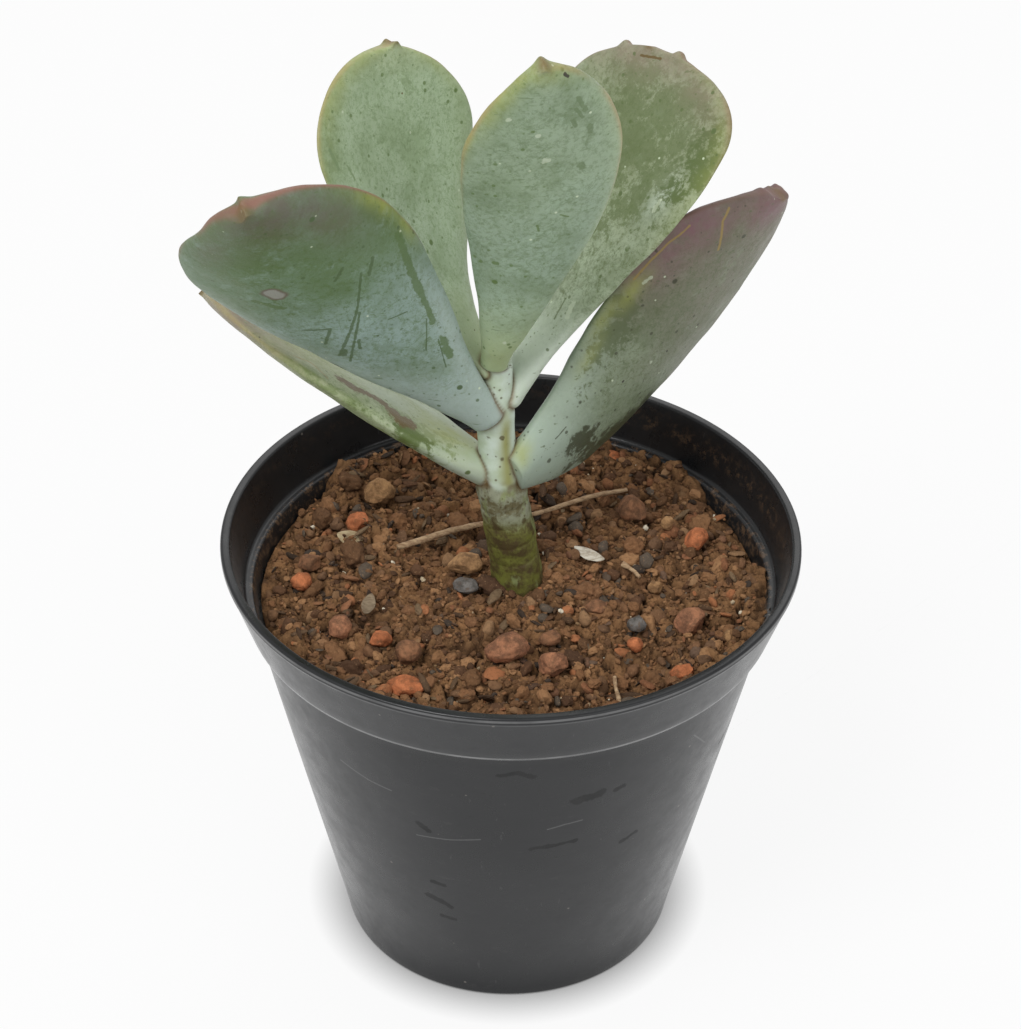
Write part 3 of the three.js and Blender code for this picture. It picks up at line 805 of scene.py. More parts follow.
def undulate(points, faces, along, across, seed):
    """Soft swells over the blade and small waves at its margins."""
    normals = vertex_normals(points, faces)
    swell = 0.28 * smooth_noise(points, 13, seed) + 0.12 * smooth_noise(points, 5, seed + 7)
    swell += 0.03 * smooth_noise(points, 1.6, seed + 11)
    margin = np.abs(across) ** 6
    swell += 0.22 * margin * smooth_noise(points, 6, seed + 19)
    fade = ramp01(along, 0.0, 0.12) * ramp01(1 - along, 0.0, 0.03)
    return points + normals * (swell * fade)[:, None]


def spots(along, across, face, marks, leaf):
    """Soft round marks on a leaf: each is (along, across, side, length mm, breadth mm, strength)."""
    total = np.zeros(len(along))
    half = np.maximum(half_width(leaf, along), 0.5)
    for at, off, side, long_mm, broad_mm, strength in marks:
        d = ((along - at) * leaf["length"] / long_mm) ** 2 + ((across - off) * half / broad_mm) ** 2
        on_side = ramp01(face * side, -0.25, 0.05) if side else 1.0
        total = np.maximum(total, strength * np.exp(-d) * on_side)
    return total


STROKE_SCALE = 0.62           # the marks' true width against the widths listed for them


def leaf_strokes(s, place, leaf, lines, ragged):
    """Strokes given in the leaf's own coordinates, (along, across), as a mask."""
    scaled = []
    for width, points in lines:
        scaled.append((STROKE_SCALE * width, [
            (at * leaf["length"], off * float(half_width(leaf, np.array(at)))) for at, off in points]))
    return s.strokes(place, scaled, ragged)


WAX_LIFT = 1.07               # how much the wax is lightened, and the bare skin darkened, against their mean
SKIN_DROP = 0.82


def leaf_material(name, leaf, side, marks, bloom, far, green, deep, base, blush, rim, rub=0.5, warm=0.5):
    """Grey-green skin under a waxy bloom.

    bloom is the waxed colour near the foot and far the one near the tip; green is the skin where the wax is
    rubbed off, deep its darkest patches, base the colour at the leaf's foot, blush the red or purple tint and
    rim the thin line along the margin. side is the face (1 upper, -1 lower) that has the marks.
    """
    bloom, far = (tuple(WAX_LIFT * c for c in tint) for tint in (bloom, far))
    green = tuple(SKIN_DROP * c for c in green)
    s = Shader(name, roughness=0.48, specular=0.4)
    along = s.attribute("along")
    place = s.plane(s.attribute("u"), s.attribute("v"))
    marked = s.band(s.times(s.attribute("face"), float(side)), -0.35, 0.0)
    blend = s.plus(along, s.times(s.minus(s.noise(16, detail=4), 0.5), 0.5))
    color = s.mix(s.band(blend, 0.35, 0.72), bloom, far)
    color = s.mix(s.band(s.noise(9, detail=6, rough=0.65), 0.42, 0.66, 0.0, 0.45), color, green)
    pale = tuple(min(1.0, 1.22 * c) for c in bloom)
    color = s.mix(s.band(s.noise(6, detail=6, rough=0.7, distort=0.4), 0.52, 0.7, 0.0, 0.4), color, pale)
    color = s.mix(s.band(s.noise(0.9, detail=6, rough=0.8), 0.46, 0.64, 0.0, 0.6), color, green)
    veins = s.math("ABSOLUTE", s.minus(s.noise(3.4, detail=5, rough=0.6, distort=0.8), 0.5))
    color = s.mix(s.band(veins, 0.0, 0.02, 0.5, 0.0), color, green)
    foot = s.band(s.plus(along, s.times(s.noise(7, detail=4), 0.16)), 0.1, 0.42, 1.0, 0.0)
    color = s.mix(s.times(foot, 0.85), color, base)
    # Pale bluish-white patches in the foot's colour: partly wax bloom, partly a painted reflection of the
    # bright surroundings on the waxy margins.
    color = s.mix(s.times(s.attribute("cool"), 0.85), color, base)
    # Wax rubbed away in patches with ragged edges, thickest where the mesh's rub value is high.
    ragged = s.noise(4.2, detail=9, rough=0.72, distort=0.6)
    fine = s.noise(1.3, detail=6, rough=0.7)
    wear = s.plus(s.times(ragged, 0.6), s.times(fine, 0.4))
    limit = s.minus(0.72, s.times(s.attribute("rub"), 0.3))
    rubbed = s.band(s.minus(wear, limit), -0.03, 0.05)
    color = s.mix(s.times(rubbed, 0.3 + 0.55 * rub), color, green)
    limit = s.minus(0.76, s.times(s.attribute("dark"), 0.4))
    darker = s.band(s.minus(wear, limit), -0.03, 0.06)
    color = s.mix(s.times(darker, 0.85), color, deep)
    # Blush, rim line and the corky scars.
    uneven = s.band(s.noise(2.4, detail=6, rough=0.65), 0.25, 0.7, 0.5, 1.0)
    blushed = s.times(s.attribute("warm"), uneven)
    color = s.mix(s.times(blushed, warm), color, blush)
    gold = s.times(s.attribute("gold"), s.band(s.noise(2.8, detail=5), 0.25, 0.7, 0.5, 1.0))
    color = s.mix(s.times(gold, 0.75), color, srgb(142, 148, 68))
    # Fine specks and short scratches that show the green skin.
    for size, radius, gate_low, strength, tint in (
            (1.5, 0.14, 0.45, 0.55, deep), (3.2, 0.105, 0.42, 0.75, deep),
            (7.0, 0.075, 0.38, 0.9, deep)):
        dots = s.band(s.cells(size), radius * 0.75, radius * 1.2, 1.0, 0.0)
        gate = s.band(s.noise(size * 1.2, detail=1), gate_low, gate_low + 0.06)
        color = s.mix(s.times(s.times(dots, gate), strength), color, tint)
    for turn, size in (((0.3, 0.5, 0.9), 0.9), ((1.1, -0.4, 0.2), 0.75)):
        scratch = s.band(s.noise(size, detail=2, stretch=(0.14, 1, 1), turn=turn), 0.69, 0.73)
        color = s.mix(s.times(scratch, 0.55), color, green)
    pale_specks = s.band(s.cells(4.6), 0.035, 0.06, 1.0, 0.0)
    color = s.mix(s.times(pale_specks, 0.7), color, (0.55, 0.62, 0.45))
    tints = {
        "green": (green, 0.8, 0.6), "deep": (deep, 0.75, 0.5), "pale": ((0.5, 0.56, 0.42), 0.5, 0.6),
        "brown": (srgb(92, 74, 34), 0.95, 0.5), "black": (srgb(44, 40, 28), 0.95, 0.25),
        "ring": (srgb(88, 74, 62), 0.9, 0.08), "core": (srgb(132, 134, 124), 0.9, 0.08),
        "gold": (srgb(140, 118, 60), 0.8, 0.3),
    }
    for kind, lines in marks.items():
        tint, strength, rough_edge = tints[kind]
        mask = s.times(leaf_strokes(s, place, leaf, lines, rough_edge), marked)
        color = s.mix(s.times(mask, strength), color, tint)
    color = s.mix(s.times(s.attribute("edge"), 0.9), color, rim)
    color = s.mix(s.attribute("brown"), color, srgb(104, 80, 44))
    rough = s.band(wear, 0.35, 0.7, 0.56, 0.4)
    normal = s.bump(s.noise(0.28, detail=4), 0.03, 0.35)
    normal = s.bump(s.noise(2.2, detail=7, rough=0.7), 0.3, 0.5, under=normal)
    normal = s.bump(s.minus(1.0, rubbed), 0.03, 0.4, under=normal)
    s.surface.inputs["Subsurface Weight"].default_value = 0.08
    s.surface.inputs["Subsurface Radius"].default_value = (0.6, 0.9, 0.35)
    s.surface.inputs["Subsurface Scale"].default_value = 0.001
    return s.finish(color, rough, normal)


# How each leaf looks. Patches are (along, across, face or 0 for both, length mm, breadth mm, strength);
# marks are strokes, (width mm, [(along, across), ...]), on the face named by side.
LEAF_LOOKS = {
    "leaf_lower_right": dict(
        side=-1,
        colors=dict(bloom=srgb(116, 127, 104), far=srgb(106, 104, 88), green=srgb(84, 97, 58),
                    deep=srgb(48, 50, 26), base=srgb(150, 165, 150), blush=srgb(112, 78, 84),
                    rim=srgb(122, 92, 80), rub=0.9, warm=0.95),
        rub=[(0.45, -0.72, -1, 12, 7, 0.95), (0.3, -0.5, -1, 9, 6, 0.8), (0.5, 0.5, -1, 22, 12, 0.5)],
        dark=[(0.3, 0.7, -1, 15, 8, 1.0), (0.2, 0.2, -1, 6, 4, 0.95), (0.4, 0.9, 0, 14, 6, 0.85),
              (0.14, 0.6, -1, 5, 4, 0.7), (0.55, 0.7, -1, 12, 7, 0.55), (0.75, 0.5, -1, 14, 8, 0.42),
              (0.3, 0.35, -1, 9, 5, 0.6),
              (0.42, -0.6, -1, 8, 4, 0.45), (0.12, 0.1, -1, 3, 2, 0.6)],
        warm=[(0.72, -0.95, 0, 9, 8, 0.95), (0.85, -0.85, 0, 9, 8, 1.0), (0.98, -0.3, 0, 6, 10, 1.0),
              (0.62, -1.0, 0, 5, 4, 0.9), (0.94, 0.6, 0, 7, 7, 0.5)],
        cool=[(0.1, -0.4, 0, 9, 8, 0.9), (0.22, -0.75, 0, 9, 5, 0.8), (0.34, -1.0, 0, 10, 3, 0.6)],
        gold=[(0.56, -0.86, 0, 5, 2, 0.9), (0.44, -0.92, 0, 6, 1.6, 0.8), (0.34, -0.82, 0, 5, 1.6, 0.6),
              (0.03, -0.8, 0, 2, 2, 0.9)],
        marks=dict(
            gold=[(0.9, [(0.93, -0.87), (0.89, -0.71), (0.81, -0.42)]),
                  (0.7, [(0.59, -0.92), (0.67, -0.92), (0.75, -0.91), (0.83, -0.9)])],
            black=[(0.7, [(0.51, 0.08)]), (0.7, [(0.61, 0.16)]), (0.9, [(0.37, -0.12)]), (0.5, [(0.55, 0.3)]),
                   (0.5, [(0.47, 0.35)])],
            deep=[(0.5, [(0.13, -0.3), (0.17, -0.32)]), (1.3, [(0.09, 0.12)])],
            pale=[(1.1, [(0.63, -0.8), (0.6, -0.82)]), (0.8, [(0.46, 0.02)])]),
        red_edge=0.6),
    "leaf_lower_left": dict(
        side=1,
        colors=dict(bloom=srgb(150, 160, 130), far=srgb(140, 144, 108), green=srgb(112, 130, 74),
                    deep=srgb(78, 94, 44), base=srgb(166, 178, 160), blush=srgb(122, 102, 88),
                    rim=srgb(150, 140, 96), rub=0.7, warm=0.9),
        rub=[(0.27, 0.75, 0, 11, 6, 1.0), (0.52, 0.95, 0, 14, 4, 0.8), (0.62, 0.3, 1, 12, 8, 0.5),
             (0.16, 0.5, 1, 5, 4, 0.8)],
        dark=[(0.26, 0.95, 0, 7, 2.5, 0.95), (0.4, 1.0, 0, 9, 2.5, 0.6), (0.62, 0.85, 0, 8, 3, 0.35)],
        warm=[(0.9, 0.9, 0, 9, 9, 1.0), (0.8, 0.8, 0, 7, 5, 0.6)],
        cool=[(0.34, 0.3, 1, 9, 4, 0.8), (0.1, 0.8, 0, 5, 4, 0.8), (0.24, -0.3, 1, 6, 3, 0.8)],
        gold=[(0.17, 0.3, 1, 7, 5, 1.0), (0.7, 0.2, 0, 10, 8, 0.35)],
        marks=dict(
            brown=[(4.6, [(0.51, 0.7), (0.47, 0.72)]), (3.6, [(0.47, 0.72), (0.42, 0.64), (0.37, 0.66)]),
                   (5.0, [(0.34, 0.72), (0.31, 0.82), (0.28, 0.72)])],
            gold=[(0.5, [(0.67, 0.89), (0.62, 0.76), (0.55, 0.9)])],
            deep=[(1.0, [(0.2, 0.35)]), (0.8, [(0.13, 0.7)]), (0.7, [(0.5, 0.5)])],
            black=[(0.6, [(0.78, 0.96)]), (0.5, [(0.4, 0.95)])]),
        red_edge=0.5),
    "leaf_middle_left": dict(
        side=-1,
        colors=dict(bloom=srgb(126, 145, 138), far=srgb(90, 112, 84), green=srgb(82, 106, 56),
                    deep=srgb(64, 84, 46), base=srgb(154, 168, 160), blush=srgb(92, 82, 76),
                    rim=srgb(128, 86, 74), rub=0.85, warm=0.8),
        rub=[(0.86, -0.35, -1, 13, 8, 1.0), (0.8, 0.6, -1, 11, 6, 0.85), (0.62, -0.4, -1, 9, 5, 0.65),
             (0.7, 0.8, -1, 12, 4, 0.9), (0.93, 0.1, -1, 10, 9, 0.9), (0.97, -0.6, -1, 9, 8, 0.9),
             (0.72, 0.2, -1, 8, 6, 0.55)],
        dark=[(0.84, 0.7, -1, 10, 3, 0.6), (0.88, -0.5, -1, 10, 5, 0.55), (0.95, -0.4, -1, 6, 6, 0.5)],
        warm=[(0.95, 0.55, -1, 9, 10, 1.0), (0.87, 0.6, -1, 11, 6, 0.9), (0.9, -0.7, -1, 5, 4, 0.5)],
        cool=[(0.3, 0.85, -1, 12, 3, 0.7), (0.3, -0.8, -1, 12, 4, 0.7), (0.55, -0.9, -1, 10, 2.5, 0.5)],
        gold=[(0.72, 0.97, 0, 7, 2.2, 1.0), (0.62, 0.97, 0, 6, 1.8, 0.8)],
        marks=dict(
            deep=[(0.75, [(0.62, 0.31), (0.53, 0.0), (0.4, -0.52)]), (1.0, [(0.63, 0.49), (0.6, 0.35)]),
                  (0.6, [(0.52, 0.0), (0.37, -0.52)]), (0.9, [(0.67, 0.23), (0.65, 0.08)]),
                  (0.5, [(0.43, 0.38), (0.45, 0.16)]), (0.7, [(0.44, -0.2), (0.41, -0.27)]),
                  (0.45, [(0.37, 0.52), (0.3, 0.23)]), (0.8, [(0.53, -0.45), (0.51, -0.27), (0.46, -0.45)]),
                  (1.6, [(0.42, -0.4), (0.4, -0.47)]), (0.4, [(0.3, 0.5), (0.22, 0.3)])],
            green=[(2.6, [(0.61, 0.83), (0.52, 0.71), (0.43, 0.64)]), (1.9, [(0.43, 0.64), (0.35, 0.58)]),
                   (2.4, [(0.29, 0.56), (0.24, 0.52)]), (1.6, [(0.68, -0.49), (0.63, -0.38)])],
            ring=[(4.2, [(0.702, -0.33), (0.684, -0.31)])],
            core=[(3.0, [(0.702, -0.33), (0.684, -0.31)])],
            black=[(0.7, [(0.43, -0.86), (0.415, -0.84)]), (0.9, [(0.35, -0.86), (0.33, -0.84)])]),
        red_edge=0.9),
    "leaf_middle_right": dict(
        side=1,
        colors=dict(bloom=srgb(146, 158, 134), far=srgb(128, 137, 108), green=srgb(92, 107, 62),
                    deep=srgb(76, 92, 46), base=srgb(186, 198, 182), blush=srgb(134, 118, 104),
                    rim=srgb(126, 96, 76), rub=0.75, warm=0.8),
        rub=[(0.78, -0.3, 0, 22, 26, 1.0), (0.55, -0.3, 0, 14, 12, 0.85), (0.4, -0.5, 0, 10, 10, 0.7)],
        dark=[(0.85, 0.1, 1, 8, 10, 0.4), (0.74, -0.85, 1, 14, 7, 0.8), (0.7, -0.3, 1, 8, 8, 0.4)],
        warm=[(1.0, 0.0, 0, 5, 30, 1.0), (0.94, -0.8, 0, 6, 6, 0.7)],
        cool=[(0.12, -0.5, 0, 8, 8, 0.9), (0.63, -0.7, 1, 4, 2, 0.6)],
        gold=[(0.78, -1.0, 0, 12, 2.5, 0.5)],
        marks=dict(
            brown=[(0.7, [(0.97, 0.1), (0.975, -0.3)])],
            pale=[(1.2, [(0.63, -0.71), (0.6, -0.72)]), (1.4, [(0.3, -0.7), (0.26, -0.8)])],
            deep=[(0.5, [(0.3, -0.5), (0.24, -0.6)])]),
        red_edge=0.7),
    "leaf_top_front": dict(
        side=-1,
        colors=dict(bloom=srgb(129, 147, 127), far=srgb(130, 147, 122), green=srgb(100, 121, 82),
                    deep=srgb(80, 102, 50), base=srgb(154, 170, 134), blush=srgb(150, 152, 86),
                    rim=srgb(160, 128, 78), rub=0.5, warm=0.6),
        rub=[(0.86, 0.45, -1, 5, 3, 0.8), (0.77, 0.6, -1, 4, 2.2, 0.8)],
        dark=[(0.86, 0.55, -1, 4, 2, 0.4)],
        warm=[],
        cool=[(0.75, 0.97, 0, 12, 1.6, 0.5), (0.5, 1.0, 0, 12, 1.2, 0.5)],
        gold=[(0.92, -0.95, 0, 8, 2.4, 0.9), (0.99, 0.0, 0, 2.5, 8, 0.7), (0.78, -1.0, 0, 6, 1.2, 0.7),
              (0.05, 0, 0, 5, 8, 0.35)],
        marks=dict(
            black=[(0.7, [(0.975, 0.72), (0.965, 0.7)])],
            green=[(1.1, [(0.9, 0.58), (0.86, 0.62)]), (1.3, [(0.81, 0.62), (0.79, 0.62)]),
                   (0.9, [(0.84, 0.42), (0.82, 0.45)]), (1.6, [(0.7, 0.5), (0.69, 0.52)]),
                   (0.8, [(0.87, 0.5), (0.84, 0.55)])],
            deep=[(1.0, [(0.6, -0.8)]), (0.8, [(0.56, -0.74)]), (1.2, [(0.37, -0.71)]),
                  (1.4, [(0.38, -0.42), (0.38, -0.36)]), (0.6, [(0.61, -0.62)]),
                  (0.5, [(0.52, 0.16), (0.5, 0.2)]),
                  (0.5, [(0.55, 0.4), (0.54, 0.5)])],
            pale=[(1.5, [(0.86, -0.56)]), (1.3, [(0.81, 0.0)]), (1.8, [(0.73, 0.12)]), (0.8, [(0.7, -0.04)]),
                  (1.0, [(0.12, 0.25)])]),
        red_edge=0.6),
    "leaf_top_back": dict(
        side=1,
        colors=dict(bloom=srgb(155, 171, 146), far=srgb(154, 171, 141), green=srgb(126, 148, 104),
                    deep=srgb(86, 108, 54), base=srgb(156, 168, 134), blush=srgb(156, 152, 96),
                    rim=srgb(146, 128, 84), rub=0.55, warm=0.5),
        rub=[(0.75, 0.85, 0, 8, 5, 0.8), (0.9, -0.15, 1, 6, 7, 0.6), (0.6, 0.3, 1, 9, 9, 0.3)],
        dark=[(0.74, 0.85, 1, 5, 2, 0.4)],
        warm=[(0.98, 0.0, 0, 3, 16, 0.5)],
        cool=[(0.55, -0.9, 0, 16, 3, 0.5)],
        gold=[(0.9, 0.95, 0, 9, 3, 0.8), (0.95, -0.9, 0, 6, 2, 0.5), (0.75, 1.0, 0, 8, 1.5, 0.6)],
        marks=dict(
            green=[(1.0, [(0.75, 0.87), (0.7, 0.81)]), (0.7, [(0.7, 0.7), (0.66, 0.66)])],
            brown=[(0.6, [(0.86, -0.08)]), (0.5, [(0.11, 0.12)])],
            deep=[(0.8, [(0.52, -0.23)]), (0.7, [(0.53, 0.23)]), (0.6, [(0.4, -0.3)])]),
        red_edge=0.7),
}


def near_to(points, others, reach):
    """1 where a point lies on the others, falling to 0 over the reach, in millimetres."""
    tree = KDTree(len(others))
    for index, point in enumerate(others):
        tree.insert(point, index)
    tree.balance()
    distance = np.array([tree.find(point)[2] for point in points])
    return np.exp(-(distance / reach) ** 2)


def make_leaf(name, shape, neighbours):
    """One leaf, with its patches, margins and creases as attributes for its material."""
    leaf, look = LEAVES[name], LEAF_LOOKS[name]
    points, faces, along, across, face = shape
    half = half_width(leaf, along)
    # Distance from the margin in millimetres, round the outline of the blade.
    to_side = half * (1 - np.abs(across))
    to_tip = (1 - along) * leaf["length"]
    near_tip = np.minimum(to_side * 0.9 + 0.02, to_side + to_tip)
    from_margin = np.where(along > leaf["widest"], near_tip, to_side)
    edge = np.exp(-(from_margin / 0.5) ** 2) * ramp01(along, 0.45, 0.75)
    broken = ramp01(smooth_noise(points, 9, 31), -0.7, 0.2)
    tip_point = np.exp(-(to_tip / 0.7) ** 2) * np.exp(-((across * half) / 1.0) ** 2)
    crease = np.zeros(len(points))
    foot = np.nonzero(along < 0.3)[0]
    crease[foot] = near_to(points[foot], neighbours, 0.42)
    attributes = {"along": along, "face": face, "u": along * leaf["length"], "v": across * half}
    for key in ("rub", "dark", "warm", "cool", "gold"):
        attributes[key] = spots(along, across, face, look[key], leaf)
    attributes["edge"] = edge * broken * look["red_edge"]
    attributes["brown"] = np.clip(tip_point * 0.8 + crease * 0.85, 0, 1)
    material = leaf_material(name, leaf, look["side"], look["marks"], **look["colors"])
    make_object(name + "_skin", points, faces, material, [name], attributes=attributes)


def make_leaves(stem_points):
    shapes = {name: leaf_mesh(leaf, 500 + 40 * number) for number, (name, leaf) in enumerate(LEAVES.items())}
    feet = {name: shape[0][shape[2] < 0.3] for name, shape in shapes.items()}
    for name, shape in shapes.items():
        others = [foot for other, foot in feet.items() if other != name]
        make_leaf(name, shape, np.vstack([stem_points, *others]))
    return np.vstack(list(feet.values()))


# ---- stem ---------------------------------------------------------------------------

LOWER_NODE_Z = 93.8           # where the lowest pair of leaves grows


def stem_material():
    """Pale waxed wood above the lowest leaves, and mottled olive bark below them."""
    s = Shader("stem", roughness=0.55, specular=0.35)
    old = s.attribute("old")
    mottled = s.noise(3.0, detail=8, rough=0.7)
    young = s.mix(s.band(s.noise(5, detail=5), 0.35, 0.7), srgb(188, 201, 190), srgb(164, 178, 152))
    young = s.mix(s.times(s.attribute("ridge"), 0.9), young, srgb(134, 134, 72))
    grey = s.mix(s.band(mottled, 0.42, 0.6), srgb(136, 140, 118), srgb(96, 90, 62))
    olive = s.mix(s.band(mottled, 0.38, 0.62), srgb(104, 106, 48), srgb(70, 58, 32))
    lowness = s.plus(s.attribute("low"), s.minus(mottled, 0.5))
    bark = s.mix(s.band(lowness, 0.2, 0.8), grey, olive)
    windows = s.band(s.noise(2.6, detail=5, rough=0.6, stretch=(1, 1, 0.5)), 0.56, 0.66, 0.0, 0.7)
    bark = s.mix(windows, bark, srgb(124, 134, 86))
    color = s.mix(old, young, bark)
    for size, radius, strength in ((1.2, 0.2, 0.7), (3.4, 0.16, 0.8)):
        flecks = s.band(s.cells(size), radius * 0.7, radius * 1.2, 1.0, 0.0)
        gate = s.band(s.noise(2.2, detail=3), 0.48, 0.56)
        fleck = s.times(s.times(flecks, gate), strength)
        color = s.mix(fleck, color, srgb(72, 60, 30))
    color = s.mix(s.attribute("scar"), color, srgb(92, 74, 44))
    lines = s.noise(0.9, detail=6, rough=0.75, stretch=(1, 1, 0.4))
    furrows = s.times(s.band(lines, 0.52, 0.7), s.times(old, 0.55))
    color = s.mix(furrows, color, srgb(58, 46, 26))
    normal = s.bump(lines, 0.18, 0.6)
    normal = s.bump(s.noise(0.5, detail=4), 0.06, 0.6, under=normal)
    return s.finish(color, s.band(mottled, 0.3, 0.7, 0.48, 0.66), normal)


def stem_mesh():
    """Points and faces of the stem, thicker at the nodes and ringed by old leaf scars."""
    points, faces = rod(STEM_KNOTS, STEM_STEPS, STEM_SIDES)
    z = points[:, 2]
    normals = vertex_normals(points, faces)
    old = ramp01(LOWER_NODE_Z - z, -0.4, 0.6)
    swell = 0.2 * smooth_noise(points * (1, 1, 0.6), 4.5, 3)
    swell = swell + 0.12 * smooth_noise(points, 1.6, 8) * (0.3 + 0.7 * old)
    swell = swell + 0.04 * smooth_noise(points, 0.7, 9) * old
    swell = swell + 0.35 * ramp01(z, 78, 84) * ramp01(-z, -94, -91)
    swell = swell - 0.15 * ramp01(z, 97, 99) * ramp01(-z, -107, -104)
    for height, depth in ((88.9, 0.12), (85.3, 0.08), (81.2, 0.1), (77.4, 0.1)):
        tilt = height + 0.22 * points[:, 0] + 0.5 * smooth_noise(points, 3, 12)
        swell = swell - depth * np.exp(-((z - tilt) / 0.35) ** 2)
    return points + normals * (swell * (z < 116.4))[:, None], faces


def make_stem(points, faces, leaf_feet):
    """The stem, with its old wood, pale ridge and leaf scars as attributes."""
    z = points[:, 2]
    old = ramp01(LOWER_NODE_Z - z + 0.8 * smooth_noise(points, 2, 71), -0.5, 0.8)
    angle = np.arctan2(points[:, 1], points[:, 0] + 2.4)
    ridge = np.exp(-((angle + 1.1) / 0.35) ** 2) * ramp01(z, 93, 95) * ramp01(-z, -110, -104)
    node = np.exp(-((z - LOWER_NODE_Z - 0.2) / 0.8) ** 2) * ramp01(smooth_noise(points, 1.4, 77), -0.6, 0.5)
    crease = near_to(points, leaf_feet, 0.4) * ramp01(z, 86, 88)
    scar = np.clip(0.7 * node + 0.8 * crease, 0, 1)
    attributes = {"old": old, "low": ramp01(87 - z, -5, 6), "ridge": ridge, "scar": scar}
    make_object("stem_skin", points, faces, stem_material(), ["stem"], attributes=attributes)


# ---- soil ---------------------------------------------------------------------------

SOIL_TOP = 72.6
SOIL_FALL = 2.8
SOIL_RADIUS = 43.4
STEM_CLEARANCE = 4.9          # crumbs are kept this far from the stem's middle


def soil_base(x, y):
    """The smooth lie of the soil, the same as the frame's."""
    reach = np.hypot(x, y)
    fall = SOIL_FALL * (reach / SOIL_RADIUS) ** 2
    swell = 0.4 * np.sin(0.21 * x + 1) * np.cos(0.18 * y) + 0.25 * np.sin(0.35 * x - 0.3 * y + 2)
    return SOIL_TOP - fall + swell * np.minimum(1, (SOIL_RADIUS - reach) / 6)


def soil_height(x, y):
    """The lie of the soil with its clods, crumbs and hollows."""
    flat = np.stack([x, y, np.zeros_like(x)], -1)
    bent = flat + np.stack([
        1.6 * layered_noise(flat, 3.5, 41, 3), 1.6 * layered_noise(flat, 3.5, 45, 3), np.zeros_like(x)], -1)
    height = soil_base(x, y) + 0.9 * layered_noise(flat, 10, 50, 3)
    reach = np.hypot(x, y)
    height = height + 3.4 * cover(np.arctan2(y, x)) * ramp01(reach, 34, 43)
    loose = ramp01(layered_noise(flat, 12, 88, 2), -0.9, 0.9)
    for size, tall, seed in ((7.0, 2.9, 61), (3.3, 1.7, 62), (1.6, 0.85, 63)):
        near, second, owner = cell_distance(bent, size, seed)
        dome = np.sqrt(np.clip(1 - (near / 0.78) ** 2, 0, 1))
        height = height + tall * (0.35 + 0.65 * loose) * (dome * (0.15 + 0.85 * owner ** 1.5) - 0.4)
        height = height - 0.3 * tall * np.exp(-((second - near) / 0.09) ** 2)
    height = height + 0.22 * layered_noise(flat, 1.1, 70, 3)
    return height


SOIL_SIDES = 560
SOIL_RINGS = 150
SOIL_SPREAD = 2.6             # how far the soil lies over the pot's ledge where it covers it
BARE_LEDGE = ((142, 200), (8, 36))    # degrees


def cover(angles):
    """1 where the soil covers the pot's ledge and 0 where the ledge is bare."""
    degrees = np.degrees(angles) % 360
    bare = np.zeros_like(degrees)
    for low, high in BARE_LEDGE:
        bare = np.maximum(bare, ramp01(degrees, low - 5, low + 3) * ramp01(-degrees, -high - 5, -high + 3))
    return 1 - bare


def tinted(values, lift):
    """A colour made lighter or darker by the factor lift."""
    return tuple(lift * c for c in values)


def soil_material(lift=0.86):
    """Brown crumbly soil, with painted shade in its hollows and painted light on its crests."""
    s = Shader("soil", roughness=0.95, specular=0.12)
    tone = s.noise(7, detail=6, rough=0.65)
    fine = s.noise(0.8, detail=7, rough=0.75)
    color = s.mix(s.band(tone, 0.32, 0.68), tinted(srgb(96, 70, 48), lift), tinted(srgb(154, 114, 78), lift))
    color = s.mix(s.band(fine, 0.48, 0.68, 0.0, 0.8), color, tinted(srgb(60, 42, 30), lift))
    grains = s.band(s.noise(0.45, detail=4), 0.6, 0.74, 0.0, 0.6)
    color = s.mix(grains, color, tinted(srgb(180, 140, 100), lift))
    color = s.mix(s.band(s.noise(4.0, detail=4), 0.62, 0.72, 0.0, 0.5), color, tinted(srgb(70, 58, 50), lift))
    # Painted shade in the hollows and painted light on the crests.
    color = s.mix(s.attribute("painted_hollow_shade"), color, srgb(32, 22, 15))
    color = s.mix(s.attribute("painted_crest_light"), color, tinted(srgb(158, 120, 84), lift))
    normal = s.bump(fine, 0.26, 1.0)
    normal = s.bump(s.noise(0.3, detail=5, rough=0.75), 0.12, 1.0, under=normal)
    return s.finish(color, None, normal)


